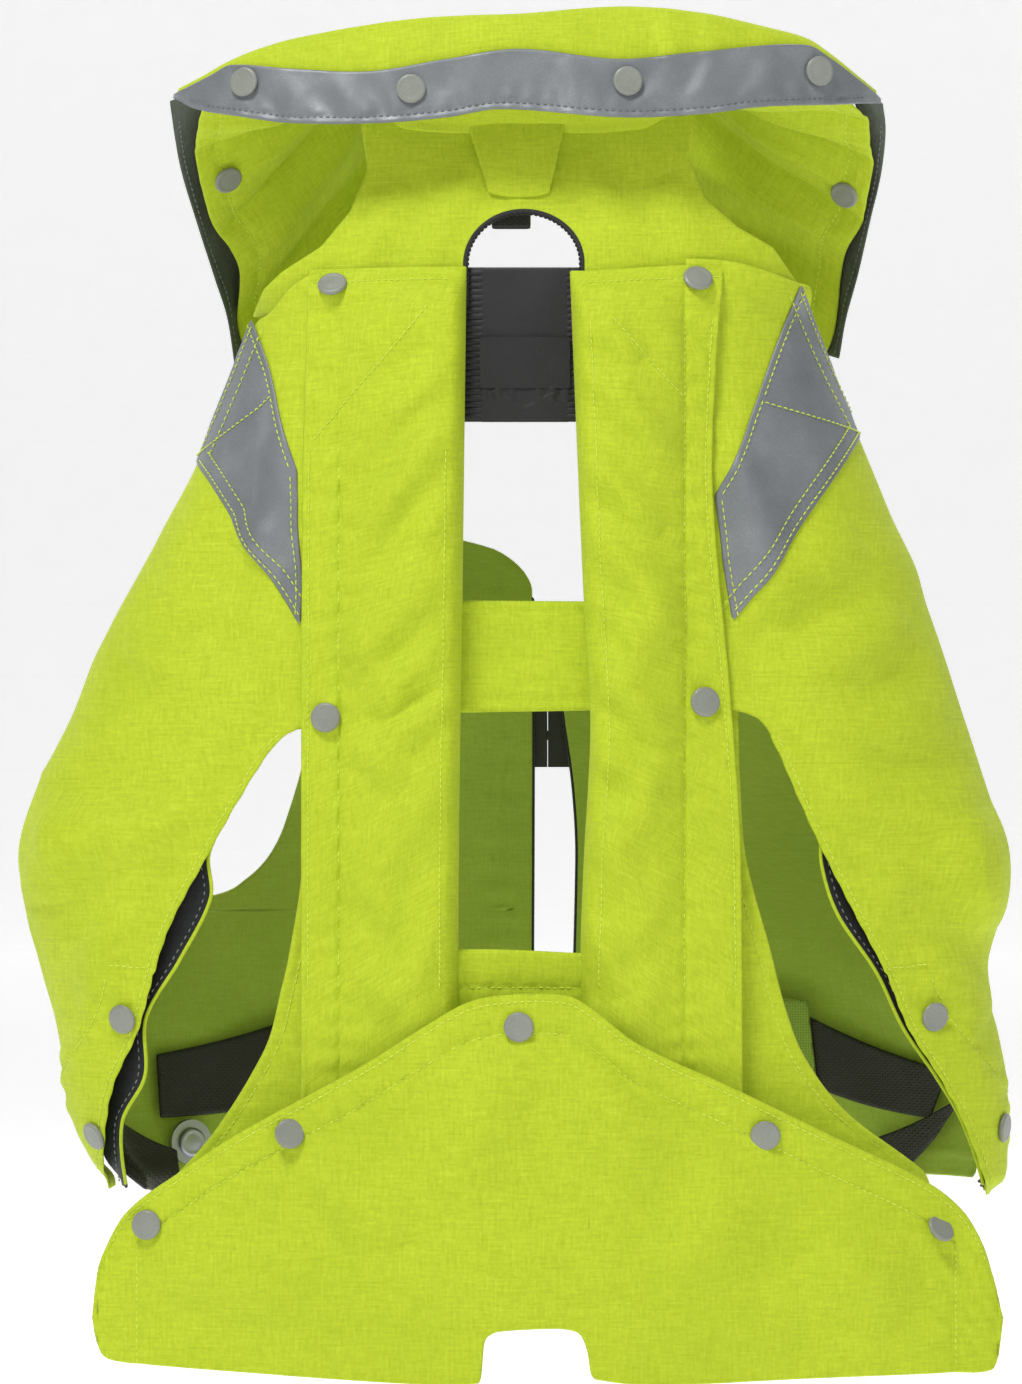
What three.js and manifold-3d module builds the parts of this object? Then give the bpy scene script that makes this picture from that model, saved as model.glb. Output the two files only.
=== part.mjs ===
// Wearable airbag vest, in millimetres, +Z up. The wearer faces +Y, so the back of the vest faces -Y.
// The origin is midway between the two shoulder straps, which is where the wearer holds the vest up.
// Outlines are pattern points drawn for a 504 mm wide, 700 mm long vest, and graded to the sizes set here.
import * as THREE from "three";
import { mergeVertices } from "three/addons/utils/BufferGeometryUtils.js";
import Module from "manifold-3d";

const wasm = await Module();
wasm.setup();

// ---- Driving dimensions -------------------------------------------------------------------------

const chestWidth = 504; // across the side wings, underarm to underarm
const backLength = 700; // tail hem to the top of the collar
const trunkHalfDepth = 98; // trunk axis to the back base panel
const squareness = 2.4; // of the trunk's section: 2 is an ellipse, more is boxier

const shell = 2.4; // laminated outer fabric with its lining
const liner = 1.6; // single black lining fabric
const bladderThickness = 3; // deflated bladder, folded flat
const layerGap = 2; // air between two layers of soft goods
const clearance = 0.4; // between pieces that touch
const seamGap = 1.2; // between two panels that a seam joins edge to edge

const wingDepth = liner + bladderThickness + 2 * layerGap; // trunk surface to the wing cover's inner face
const backBladder = 6; // bladder pack under each back cover
const coverEdge = wingDepth + shell + layerGap; // trunk surface to the back cover's inner face at its edges
const coverBulge = 8; // how far a back cover swells out between its edges
const tailSpread = 290; // half width of the wide oval that the tail lies on
const tailDepth = coverEdge + coverBulge + shell + layerGap; // trunk surface to the tail cover at its top edge

const snapRadius = 7.5;
const snapHeight = 2.6;

const strapThickness = 1.8;
const elasticHeight = 41; // wide elastic from the back base to the side
const hipStrapHeight = 32;
const webbingHeight = 25; // front webbing, and the slot in each buckle

const buckleHeight = 34;
const buckleDepth = 11;
const femaleLength = 30;
const maleLength = 24;
const plugLength = 20; // how far the male half goes into the female half
const buckleWall = 2;
const prongWidth = 3.5;
const prongSwing = 6; // degrees that each prong is squeezed in
const frontGap = 19; // between the edges of the two front panels
const webbingStandoff = 1.5; // front panel to the webbing that lies on it

const cylinderRadius = 13;
const cylinderLength = 92;
const neckRadius = 5;
const neckLength = 10;
const inflatorRadius = 16;
const inflatorHeight = 34;
const strikerRadius = 3;
const strikerHeadRadius = 5.5;
const strikerTravel = 6;
const runningGap = 0.4; // between a sliding or turning piece and its bore
const pocketWall = 2;
const flangeRadius = 12;
const flangeThickness = 3;

const widthGrade = chestWidth / 504;
const lengthGrade = backLength / 700;
const sides = { left: -1, right: 1 };

// ---- Colours -------------------------------------------------------------------------------------

const finish = (color, roughness, metalness = 0) => new THREE.MeshStandardMaterial({ color, roughness, metalness });
const yellowFabric = finish(0xb9de22, 0.8);
const reflective = finish(0x878b93, 0.45);
const blackFabric = finish(0x232325, 0.85);
const bladderFilm = finish(0x3a3d40, 0.5);
const greyPlastic = finish(0x8f8f8d, 0.45);
const blackPlastic = finish(0x1c1c1e, 0.4);
const steel = finish(0xb4b6ba, 0.3, 0.9);
const anodised = finish(0x9fa1ad, 0.4, 0.6);
const redPlastic = finish(0xb5261e, 0.45);

// ---- Curves and solids ---------------------------------------------------------------------------

// A smooth function through [position, value] pairs, flat past both ends.
function through(table) {
  const slope = (i) => {
    const before = table[Math.max(i - 1, 0)];
    const after = table[Math.min(i + 1, table.length - 1)];
    return (after[1] - before[1]) / (after[0] - before[0]);
  };
  return (position) => {
    const last = table.length - 1;
    if (position <= table[0][0]) return table[0][1];
    if (position >= table[last][0]) return table[last][1];
    const i = table.findIndex((pair) => pair[0] > position) - 1;
    const width = table[i + 1][0] - table[i][0];
    const t = (position - table[i][0]) / width;
    const start = table[i][1] * (1 + 2 * t) * (1 - t) ** 2 + slope(i) * width * t * (1 - t) ** 2;
    return start + table[i + 1][1] * t * t * (3 - 2 * t) - slope(i + 1) * width * t * t * (1 - t);
  };
}

const blend = (a, b, t) => a + (b - a) * t;
const power = (value, exponent) => Math.sign(value) * Math.abs(value) ** exponent;
const steps = (count) => Array.from({ length: count + 1 }, (_, i) => i / count);

// A closed solid as a manifold, from vertices and triangles, turned to face outwards.
function solid(points, triangles) {
  const geometry = new THREE.BufferGeometry();
  geometry.setAttribute("position", new THREE.Float32BufferAttribute(points.flatMap((p) => p.toArray()), 3));
  geometry.setIndex(triangles.flat());
  return solidOf(geometry);
}

function solidOf(geometry) {
  const bare = geometry.clone().deleteAttribute("normal").deleteAttribute("uv");
  const merged = mergeVertices(bare, 1e-3);
  const index = new Uint32Array(merged.index.array);
  const position = merged.attributes.position;
  let volume = 0;
  const corner = [new THREE.Vector3(), new THREE.Vector3(), new THREE.Vector3()];
  for (let i = 0; i < index.length; i += 3) {
    corner.forEach((vector, k) => vector.fromBufferAttribute(position, index[i + k]));
    volume += corner[0].dot(corner[1].clone().cross(corner[2]));
  }
  if (volume < 0) for (let i = 0; i < index.length; i += 3) [index[i + 1], index[i + 2]] = [index[i + 2], index[i + 1]];
  return new wasm.Manifold(new wasm.Mesh({ numProp: 3, vertProperties: position.array, triVerts: index }));
}

// A sheet with thickness: place(u, v, depth) gives its points, and inner and outer are its two depths.
function sheet(place, inner, outer, columns, rows) {
  const points = [];
  const triangles = [];
  const width = columns.length;
  const height = rows.length;
  for (const depth of [inner, outer]) for (const v of rows) for (const u of columns) points.push(place(u, v, depth));
  const at = (side, i, j) => side * width * height + j * width + i;
  const quad = (a, b, c, d) => triangles.push([a, b, c], [a, c, d]);
  for (let j = 0; j < height - 1; j++)
    for (let i = 0; i < width - 1; i++) {
      quad(at(0, i, j), at(0, i + 1, j), at(0, i + 1, j + 1), at(0, i, j + 1));
      quad(at(1, i, j), at(1, i, j + 1), at(1, i + 1, j + 1), at(1, i + 1, j));
    }
  for (let i = 0; i < width - 1; i++) {
    quad(at(0, i + 1, 0), at(0, i, 0), at(1, i, 0), at(1, i + 1, 0));
    quad(at(0, i, height - 1), at(0, i + 1, height - 1), at(1, i + 1, height - 1), at(1, i, height - 1));
  }
  for (let j = 0; j < height - 1; j++) {
    quad(at(0, 0, j), at(0, 0, j + 1), at(1, 0, j + 1), at(1, 0, j));
    quad(at(0, width - 1, j + 1), at(0, width - 1, j), at(1, width - 1, j), at(1, width - 1, j + 1));
  }
  return solid(points, triangles);
}

// All heights in this file are above the tail's hem. The whole vest is then set down to its origin.
const shoulderLevel = 611;
const group = new THREE.Group();
const vest = new THREE.Group();
vest.position.z = -shoulderLevel * lengthGrade;
group.add(vest);

// Adds a solid to the vest, or to another group, as one named piece.
function piece(name, made, material, holder = vest) {
  const from = made.getMesh();
  const stride = from.numProp;
  const positions = [];
  for (let i = 0; i < from.numVert; i++) positions.push(...from.vertProperties.subarray(i * stride, i * stride + 3));
  const geometry = new THREE.BufferGeometry();
  geometry.setAttribute("position", new THREE.Float32BufferAttribute(positions, 3));
  geometry.setIndex(Array.from(from.triVerts));
  geometry.computeVertexNormals();
  const mesh = new THREE.Mesh(geometry, material);
  mesh.name = name;
  holder.add(mesh);
  return mesh;
}

const box = (x, y, z) => solidOf(new THREE.BoxGeometry(x, y, z));

function cylinder(radius, length, segments = 24) {
  return solidOf(new THREE.CylinderGeometry(radius, radius, length, segments).rotateX(Math.PI / 2));
}

function turned(profile, segments) {
  const outline = profile.map(([radius, height]) => new THREE.Vector2(radius, height));
  return solidOf(new THREE.LatheGeometry(outline, segments).rotateX(Math.PI / 2));
}

// ---- Trunk surface -------------------------------------------------------------------------------

// Half width and half depth of the trunk at each pattern height.
const trunkWidthAt = through([[0, 222], [90, 222], [125, 228], [190, 232], [264, 244], [300, 235],
  [346, 213], [392, 194], [433, 174], [483, 154], [530, 147], [560, 165], [700, 172]]);
const trunkDepthAt = through([[0, 1.02], [400, 1], [520, 0.96], [560, 0.9], [640, 0.68], [700, 0.58]]);

// The lower edge hangs a little to one side.
const swayAt = (z) => (z < 190 ? 16 * (1 - z / 190) : 0);

// A point at an angle round the trunk, 0 at the spine and 180 at the breastbone, and a depth outside it.
function trunk(angle, z, depth) {
  const turn = THREE.MathUtils.degToRad(angle);
  const halfWidth = trunkWidthAt(z) * widthGrade + depth;
  const halfDepth = trunkDepthAt(z) * trunkHalfDepth + depth;
  const x = halfWidth * power(Math.sin(turn), 2 / squareness) + swayAt(z);
  const y = -halfDepth * power(Math.cos(turn), 2 / squareness);
  return new THREE.Vector3(x, y, z * lengthGrade);
}

// The angle on the back of the trunk, 0 to 90, at which a pattern point lies.
function angleOf(x, z) {
  const share = Math.min(Math.abs(x) / trunkWidthAt(z), 1);
  return Math.sign(x) * THREE.MathUtils.radToDeg(Math.asin(share ** (squareness / 2)));
}

const backPoint = (x, z, depth) => trunk(angleOf(x, z), z, depth);
const frontPoint = (x, z, depth) => trunk(Math.sign(x) * 180 - angleOf(x, z), z, depth);

// The tail stands away from the hips, on a wider oval than the trunk.
function tailPoint(x, z, depth) {
  const spread = tailSpread * widthGrade + depth;
  const share = Math.abs(x * widthGrade) / spread;
  const y = -(trunkHalfDepth * trunkDepthAt(z) + depth) * (1 - share ** squareness) ** (1 / squareness);
  return new THREE.Vector3(x * widthGrade + swayAt(z), y, z * lengthGrade);
}

// ---- Back base, yoke and cross bands --------------------------------------------------------------

const windowHalf = 30.5; // half width of the open slot between the two back covers
const windowBottom = 213;
const yokeSeam = 546;

const baseEdgeAt = through([[97, 193], [102, 189.5], [119, 168.5], [137, 152], [155, 139.5], [176, 130],
  [197, 123], [222, 117], [264, 110], [330, 107], [yokeSeam, 107]]);

function backBase() {
  const columns = [-1, -0.85, -0.7, -0.5, -0.25, 0, 0.25, 0.5, 0.7, 0.85, 1];
  const rows = [97, 102, 119, 137, 155, 176, 197, 222, 264, 330, 400, 470, yokeSeam - clearance];
  const made = sheet((u, z, depth) => backPoint(u * baseEdgeAt(z), z, depth), 0, shell, columns, rows);
  const slotTop = 620;
  const slot = box(2 * windowHalf * widthGrade, 60, (slotTop - windowBottom) * lengthGrade);
  const middle = (slotTop + windowBottom) / 2;
  return made.subtract(slot.translate(0, -trunkHalfDepth, middle * lengthGrade));
}
piece("back_base_panel", backBase(), yellowFabric);

const yokeTop = 640;
const shoulderRows = [556, 563, 569, 575, 584, 593, 600, 607, 622];
const yokeEdgeAt = through([[yokeSeam, 135], [556, 128], [563, 119], [575, 102], [593, 86], [607, 81], [yokeTop, 79]]);
const keyholeHalf = 28;
const keyholeSpring = 556; // height where the keyhole's arch begins

function keyhole() {
  const half = keyholeHalf * widthGrade;
  const spring = keyholeSpring * lengthGrade;
  const outline = new THREE.Shape();
  outline.moveTo(-half, spring - 40);
  outline.lineTo(half, spring - 40);
  outline.absarc(0, spring, half, 0, Math.PI);
  const depth = 80;
  const prism = new THREE.ExtrudeGeometry(outline, { depth, bevelEnabled: false, curveSegments: 12 });
  return solidOf(prism.rotateX(Math.PI / 2).translate(0, -trunkHalfDepth + depth / 2, 0));
}

function yoke() {
  const rows = [yokeSeam, ...shoulderRows, yokeTop];
  const columns = steps(12).map((u) => 2 * u - 1);
  const made = sheet((u, z, depth) => backPoint(u * yokeEdgeAt(z), z, depth), 0, shell, columns, rows);
  return made.subtract(keyhole());
}
piece("yoke_panel", yoke(), yellowFabric);

// The tab hangs from the collar over the middle of the yoke.
const tabEdgeAt = through([[594, 13.5], [616, 24], [632, 24.5]]);
const tabDepth = shell + layerGap;
piece("yoke_tab", sheet((u, z, depth) => backPoint(u * tabEdgeAt(z), z, depth), tabDepth, tabDepth + shell,
  [-1, 0, 1], [594, 605, 616, 632]), yellowFabric);

// Bands that tie the two back legs together lie inside them, and overlap them by a seam.
const bandSeam = 12;
function crossBand(low, high, thickness) {
  const reach = windowHalf + bandSeam;
  const place = (u, z, depth) => backPoint(u * reach, z, depth);
  return sheet(place, -seamGap - thickness, -seamGap, [-1, -0.5, 0, 0.5, 1], [low, high]);
}
const blackBandLow = 484;
const blackBandHigh = 552;
piece("middle_cross_band", crossBand(340, 388, shell), yellowFabric);
piece("upper_cross_band", crossBand(blackBandLow, blackBandHigh, liner), blackFabric);

// A moulded rubber plate with a flat, blank face is stitched on the black band.
const plateThickness = 1.5;
const plateHeight = 26;
const plateWidth = 46;
function badgePlate() {
  const middle = (blackBandLow + blackBandHigh) / 2;
  const at = backPoint(0, blackBandHigh, -clearance).y - clearance;
  return box(plateWidth, plateThickness, plateHeight).translate(0, at - plateThickness / 2 - 4, middle * lengthGrade);
}
piece("badge_plate", badgePlate(), blackPlastic);

// ---- Snap fasteners ------------------------------------------------------------------------------

// A domed cap with a short shank, its flange against the fabric and its dome along +Z.
function snapCap() {
  return turned([[0, 0], [snapRadius, 0], [snapRadius, snapHeight * 0.45], [snapRadius * 0.8, snapHeight * 0.85],
    [snapRadius * 0.35, snapHeight], [0, snapHeight]], 16);
}

// Sets a cap on a surface: place(x, z, depth) is the surface, and depth its outer face.
function snap(name, place, x, z, depth) {
  const at = place(x, z, depth);
  const across = place(x + 1, z, depth).sub(at);
  const up = place(x, z + 1, depth).sub(at);
  const outward = across.cross(up).normalize();
  const mesh = piece(name, snapCap(), greyPlastic);
  mesh.quaternion.setFromUnitVectors(new THREE.Vector3(0, 0, 1), outward);
  mesh.position.copy(at).addScaledVector(outward, clearance + 0.3);
}

// ---- Back covers over their bladder packs ---------------------------------------------------------

const coverInner = windowHalf;
const coverOuter = 107;
const coverTop = 556;
const coverFootGap = 3; // above the tail's upper edge
const coverFoot = 140; // height at which the layers under the tail end
const tailTopAt = through([[0, 190], [27, 190], [66, 167], [110, 142], [187.6, 102], [212.7, 78], [222, 58], [227.7, 36]]);

function coverDepth(x) {
  const across = (Math.abs(x) - coverInner) / (coverOuter - coverInner);
  return coverEdge + coverBulge * Math.sin(Math.PI * THREE.MathUtils.clamp(across, 0, 1));
}
const coverPoint = (x, z, depth) => backPoint(x, z, depth + coverDepth(x));

// Each cover ends at the tail's upper edge, so that it swings clear of the tail.
function backCover(side) {
  const place = (u, v, depth) => {
    const x = side * blend(coverInner, coverOuter, u);
    return coverPoint(x, blend(tailTopAt(Math.abs(x)) + coverFootGap, coverTop, v), depth);
  };
  return sheet(place, 0, shell, steps(8), steps(8));
}

const bladderInset = 14;
function backBladderPack(side) {
  const place = (u, v, depth) => {
    const x = side * blend(coverInner + bladderInset, coverOuter - bladderInset, u);
    return backPoint(x, blend(200, coverTop - 2 * bladderInset, v), depth);
  };
  return sheet(place, shell + layerGap, shell + layerGap + backBladder, steps(4), steps(6));
}

for (const [name, side] of Object.entries(sides)) {
  piece(`back_cover_${name}`, backCover(side), yellowFabric);
  piece(`back_bladder_${name}`, backBladderPack(side), bladderFilm);
  snap(`snap_back_upper_${name}`, coverPoint, side * 92, 549, shell);
  snap(`snap_back_middle_${name}`, coverPoint, side * 94, 334, shell);
}

// ---- Tail ----------------------------------------------------------------------------------------

const tailBottomAt = through([[0, 27], [20, 25], [26, 16], [29, 3], [45, 0], [144, 1.5], [214, 4], [224, 14], [227.7, 28]]);
const tailColumns = [0, 10, 20, 26, 29, 45, 66, 88, 110, 149, 187.6, 205, 214, 222, 227.7];
const mirrored = (list) => [...list.slice(1).reverse().map((x) => -x), ...list];

// A tail layer keeps inside the tail's outline by its inset.
function tailLayer(inset, inner, outer, reach) {
  const columns = mirrored(tailColumns.filter((x) => x <= reach));
  const place = (x, v, depth) => {
    const low = tailBottomAt(Math.abs(x)) + inset;
    const high = Math.max(tailTopAt(Math.abs(x)) - inset, low + 2);
    const z = blend(low, high, v);
    return tailPoint(x, z, depth + tailLiftAt(z) * (inner > 2 * shell ? 1 : 0));
  };
  return sheet(place, inner, outer, columns, steps(5));
}

// The cover stands further out at its top edge, where it laps over the back covers.
const tailLiftAt = (z) => 6 * THREE.MathUtils.smoothstep(z, 110, 160);
const tailCoverDepth = tailDepth - 6;
const tailCoverPoint = (x, z, depth) => tailPoint(x, z, tailCoverDepth + tailLiftAt(z) + depth);

function tailCover() {
  const place = (x, v, depth) => tailCoverPoint(x, blend(tailBottomAt(Math.abs(x)), tailTopAt(Math.abs(x)), v), depth);
  return sheet(place, 0, shell, mirrored(tailColumns), steps(7));
}
piece("tail_cover", tailCover(), yellowFabric);

const tailBackingTop = coverFoot - 2;
function tailBacking() {
  const place = (x, v, depth) => {
    const low = tailBottomAt(Math.abs(x)) + 3;
    const high = Math.max(Math.min(tailTopAt(Math.abs(x)) - 3, tailBackingTop), low + 2);
    return tailPoint(x, blend(low, high, v), depth);
  };
  return sheet(place, shell + layerGap, 2 * shell + layerGap, mirrored(tailColumns), steps(4));
}
piece("tail_backing", tailBacking(), yellowFabric);

function tailBladder() {
  const place = (x, v, depth) => {
    const low = tailBottomAt(Math.abs(x)) + 12;
    const high = Math.max(Math.min(tailTopAt(Math.abs(x)) - 14, tailBackingTop), low + 4);
    return tailPoint(x, blend(low, high, v), depth);
  };
  const start = 2 * shell + 2 * layerGap;
  const columns = mirrored(tailColumns.filter((x) => x < 200));
  return sheet(place, start, start + bladderThickness, columns, steps(3));
}
piece("tail_bladder", tailBladder(), bladderFilm);

const tailSnaps = { centre: [0, 178], left: [-119, 123], right: [119, 123], outer_left: [-196, 76], outer_right: [196, 76] };
for (const [name, [x, z]] of Object.entries(tailSnaps)) snap(`snap_tail_${name}`, tailCoverPoint, x, z, shell);

// ---- Side wings ----------------------------------------------------------------------------------

const wingFoot = 92;
const wingTop = 540;
const wingTuck = 98; // the wing's inner edge above the back opening, under the back cover
const wingEdgeAt = through([[wingFoot, 218], [100, 219], [110, 216], [135, 207], [158, 198], [183, 188], [212, 178],
  [243, 164], [264, 153], [289, 140], [311, 128], [325, 116], [334, wingTuck], [wingTop, wingTuck]]);
const liningReachAt = through([[wingFoot, 4], [110, 4], [150, 6], [185, 5], [215, 10], [240, 12], [262, 2], [290, 0]]);
const wingBackAngleAt = through([[wingFoot, 97], [230, 104], [280, 100], [320, 93], [wingTop, 90]]);
const flapTop = 228; // the wing cover below this height opens as a flap
const wingRows = [wingFoot, 105, 135, 158, 183, 212, flapTop, 243, 264, 289, 311, 325, 334, 360, 400, 450, 500, 527,
  wingTop];
const wingColumns = steps(7);

// A wing layer between two heights. Every layer uses the same rows and columns, so that they stay parallel.
function wingLayer(side, inner, outer, low, high, reachAt, columns = wingColumns) {
  const place = (u, z, depth) => {
    const start = angleOf(wingEdgeAt(z) - reachAt(z), z);
    return trunk(side * blend(start, wingBackAngleAt(z), u), z, depth);
  };
  const rows = wingRows.filter((z) => z > low && z < high);
  return sheet(place, inner, outer, columns, [low, ...rows, high]);
}

// The lining stops short of the back base, which lies at the same depth.
function baseKeepOut() {
  const keep = coverOuter + 3;
  return box(2 * keep * widthGrade, trunkHalfDepth, backLength).translate(0, -trunkHalfDepth, backLength / 2);
}

const none = () => 0;
const wingOuter = wingDepth + shell;
const wingSnapPoint = (x, z, depth) => backPoint(x, z, wingOuter + depth);
for (const [name, side] of Object.entries(sides)) {
  const lining = wingLayer(side, 0, liner, wingFoot, wingTop, liningReachAt);
  piece(`wing_lining_${name}`, lining.subtract(baseKeepOut()), blackFabric);
  const start = wingDepth - clearance - bladderThickness;
  const bladder = wingLayer(side, start, start + bladderThickness, 105, 527, none, wingColumns.slice(1, -1));
  piece(`wing_bladder_${name}`, bladder, bladderFilm);
  piece(`wing_cover_${name}`, wingLayer(side, wingDepth, wingOuter, flapTop, wingTop, none), yellowFabric);
  const flap = wingLayer(side, wingDepth, wingOuter, wingFoot, flapTop - 2 * clearance, none);
  piece(`wing_flap_${name}`, flap, yellowFabric);
  snap(`snap_wing_upper_${name}`, wingSnapPoint, side * 205, 183, 0);
  snap(`snap_wing_lower_${name}`, wingSnapPoint, side * 218, 122, 0);
}

// Reflective patches over the shoulder ends of the wings.
const patchOutline = [[116, 384], [118, 461], [129, 504], [139, 533], [210, 533], [210, 492], [167, 466]];
const patchThickness = 0.8;

function patchPrism(side) {
  const corners = patchOutline.map(([x, z]) => new THREE.Vector2(side * x * widthGrade, z * lengthGrade));
  const depth = 2 * trunkHalfDepth;
  const prism = new THREE.ExtrudeGeometry(new THREE.Shape(corners), { depth, bevelEnabled: false });
  return solidOf(prism.rotateX(Math.PI / 2).translate(0, -8, 0));
}
for (const [name, side] of Object.entries(sides)) {
  const inner = wingOuter + clearance;
  const layer = wingLayer(side, inner, inner + patchThickness, flapTop, wingTop, none);
  piece(`shoulder_patch_${name}`, layer.intersect(patchPrism(side)), reflective);
}

// ---- Shoulders and front panels -------------------------------------------------------------------

const shoulderRise = 20;
const frontOpening = { left: 4, right: 21 }; // where each front panel ends, either side of the front opening
const frontFoot = 96;
const armholeFoot = 232; // the armhole opens above this height
const frontArmholeAt = through([[armholeFoot, 229], [238, 200], [245, 159], [254, 130], [270, 115], [295, 111],
  [328, 112], [400, 112], [480, 120], [yokeSeam, 135], [556, 128], [563, 119], [575, 102], [593, 86], [607, 81], [632, 79]]);
const necklineAt = through([[402, 0], [417, 4], [431, 30], [470, 36], [560, 38], [632, 40]]);

// The strap over each shoulder joins the yoke's slanted edge to the front panel's.
function shoulderBridge(side) {
  const place = (v, z, depth) => {
    const edge = backPoint(side * (yokeEdgeAt(z) + 2 * seamGap), z, depth);
    const over = Math.sin(Math.PI * v);
    const x = edge.x + side * depth * over;
    return new THREE.Vector3(x, edge.y * Math.cos(Math.PI * v), edge.z + (shoulderRise + depth) * over);
  };
  return sheet(place, 0, shell, steps(10), [550, ...shoulderRows, 632]);
}

// Angles round the trunk at which a front panel starts, at the wing or the armhole, and ends.
function frontAngles(name, z) {
  const side = sides[name];
  const seam = z < armholeFoot ? wingBackAngleAt(z) + 0.6 : 180 - angleOf(frontArmholeAt(z), z);
  const edge = frontOpening[name] + side * necklineAt(z);
  return [side * seam, side * (180 - side * angleOf(edge, z))];
}

function frontPanel(name) {
  const place = (u, z, depth) => {
    const [start, end] = frontAngles(name, z);
    return trunk(blend(start, end, u), z, depth);
  };
  const rows = [frontFoot, 130, 170, 205, 231, 237, 241, 246, 254, 270, 300, 330, 370, 402, 412, 421, 432, 450, 480,
    510, yokeSeam, ...shoulderRows, 632];
  return sheet(place, 0, shell, steps(7), rows);
}

// ---- Inflator, outside the wearer's left front panel ----------------------------------------------

const inflatorPlace = { x: -186, z: 112 };
const inflatorStandoff = 27; // panel's inner face to the cylinder's axis
const keyRadius = 5.5;
const keyEyeRadius = 3.8; // eye that the rider's lanyard clips to
const bodyHalf = inflatorHeight / 2;

// The inflator is drawn upright: +X points out from the panel, and the panel's inner face is at x = 0.
const inflator = new THREE.Group();
inflator.name = "inflator";
function placeInflator() {
  const { x, z } = inflatorPlace;
  const place = (px, pz) => trunk(-180 - angleOf(px, pz), pz, 0);
  const at = place(x, z);
  const across = place(x + 1, z).sub(at);
  const outward = new THREE.Vector3(-across.y, across.x, 0).normalize();
  if (outward.y < 0) outward.negate();
  inflator.position.copy(at);
  inflator.rotation.z = Math.atan2(outward.y, outward.x);
  vest.add(inflator);
}

const onAxis = (made, height) => made.translate(inflatorStandoff, 0, height);
const stubRadius = 6;
const nutGap = 3.6; // the nut's flat face stands off the curved panel

function inflatorBody() {
  const stub = solidOf(new THREE.CylinderGeometry(stubRadius, stubRadius, inflatorStandoff, 24).rotateZ(Math.PI / 2));
  const outside = onAxis(cylinder(inflatorRadius, inflatorHeight, 36), 0);
  const neckBore = onAxis(cylinder(neckRadius + runningGap, bodyHalf - 5), (bodyHalf + 5) / 2);
  const pinBore = onAxis(cylinder(strikerRadius + runningGap, 8), 3);
  const chamber = onAxis(cylinder(keyRadius + runningGap, bodyHalf + 1.5), 1 - (bodyHalf + 1.5) / 2 - 0.5);
  const seat = stub.translate(inflatorStandoff / 2 - nutGap - flangeThickness, 0, 0);
  return outside.add(seat).subtract(neckBore).subtract(pinBore).subtract(chamber);
}

function inflatorParts() {
  piece("inflator_body", inflatorBody(), blackPlastic, inflator);
  const nut = solidOf(new THREE.CylinderGeometry(flangeRadius, flangeRadius, flangeThickness, 32).rotateZ(Math.PI / 2));
  const bore = solidOf(new THREE.CylinderGeometry(1, 1, 20, 24).rotateZ(Math.PI / 2));
  const hole = bore.scale([1, stubRadius + 0.1, stubRadius + 0.1]);
  piece("inflator_nut", nut.subtract(hole).translate(-nutGap - flangeThickness / 2, 0, 0), anodised, inflator);

  const foot = 7.4; // bottom of the cylinder's neck, above the middle of the body
  const shoulder = bodyHalf + 1.5;
  const top = shoulder + cylinderLength;
  const bottle = turned([[0, foot], [neckRadius, foot], [neckRadius, shoulder], [cylinderRadius, shoulder + 9],
    [cylinderRadius, top - 8], [cylinderRadius * 0.6, top - 1.5], [0, top]], 28);
  piece("gas_cylinder", onAxis(bottle, 0), steel, inflator);

  const pin = turned([[0, -7.9], [strikerHeadRadius - 0.6, -7.9], [strikerHeadRadius - 0.6, -6.1], [strikerRadius, -6.1],
    [strikerRadius, -0.8], [0, 1]], 20);
  piece("firing_pin", onAxis(pin, 0), steel, inflator);

  const barrel = turned([[0, -24], [6, -24], [8.5, -21.5], [8.5, -bodyHalf - clearance],
    [keyRadius, -bodyHalf - clearance], [keyRadius, -9.2], [keyRadius - 1, -8.4], [0, -8.4]], 24);
  const eye = solidOf(new THREE.CylinderGeometry(keyEyeRadius, keyEyeRadius, 8, 20).rotateZ(Math.PI / 2));
  const loop = box(3, 13, 14).translate(0, 0, -30).subtract(eye.translate(0, 0, -31));
  const facing = loop.rotate([0, 0, -THREE.MathUtils.radToDeg(inflator.rotation.z)]);
  piece("lanyard_key", onAxis(barrel.add(facing), 0), redPlastic, inflator);
}

function stubHole() {
  const hole = solidOf(new THREE.CylinderGeometry(stubRadius + clearance, stubRadius + clearance, 30, 24)
    .rotateZ(Math.PI / 2));
  return hole.rotate([0, 0, THREE.MathUtils.radToDeg(inflator.rotation.z)]).translate(inflator.position.toArray());
}

placeInflator();
inflatorParts();
for (const [name, side] of Object.entries(sides)) {
  piece(`shoulder_bridge_${name}`, shoulderBridge(side), yellowFabric);
  const panel = frontPanel(name);
  piece(`front_panel_${name}`, name === "left" ? panel.subtract(stubHole()) : panel, yellowFabric);
}

// ---- Front buckle and its webbing -----------------------------------------------------------------

const buckleCentre = { x: 12, z: 327 };
const webbingBase = shell + clearance; // front panel's inner face to the webbing's inner face
const buckle = new THREE.Group();
buckle.name = "front_buckle";

// The buckle is drawn with its mouth at x = 0, the male half on +X, and its back face at y = 0.
const slotGap = 3.6; // webbing slot, along the buckle
const barWidth = 2;
const mouthHeight = buckleHeight - 7;

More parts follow.
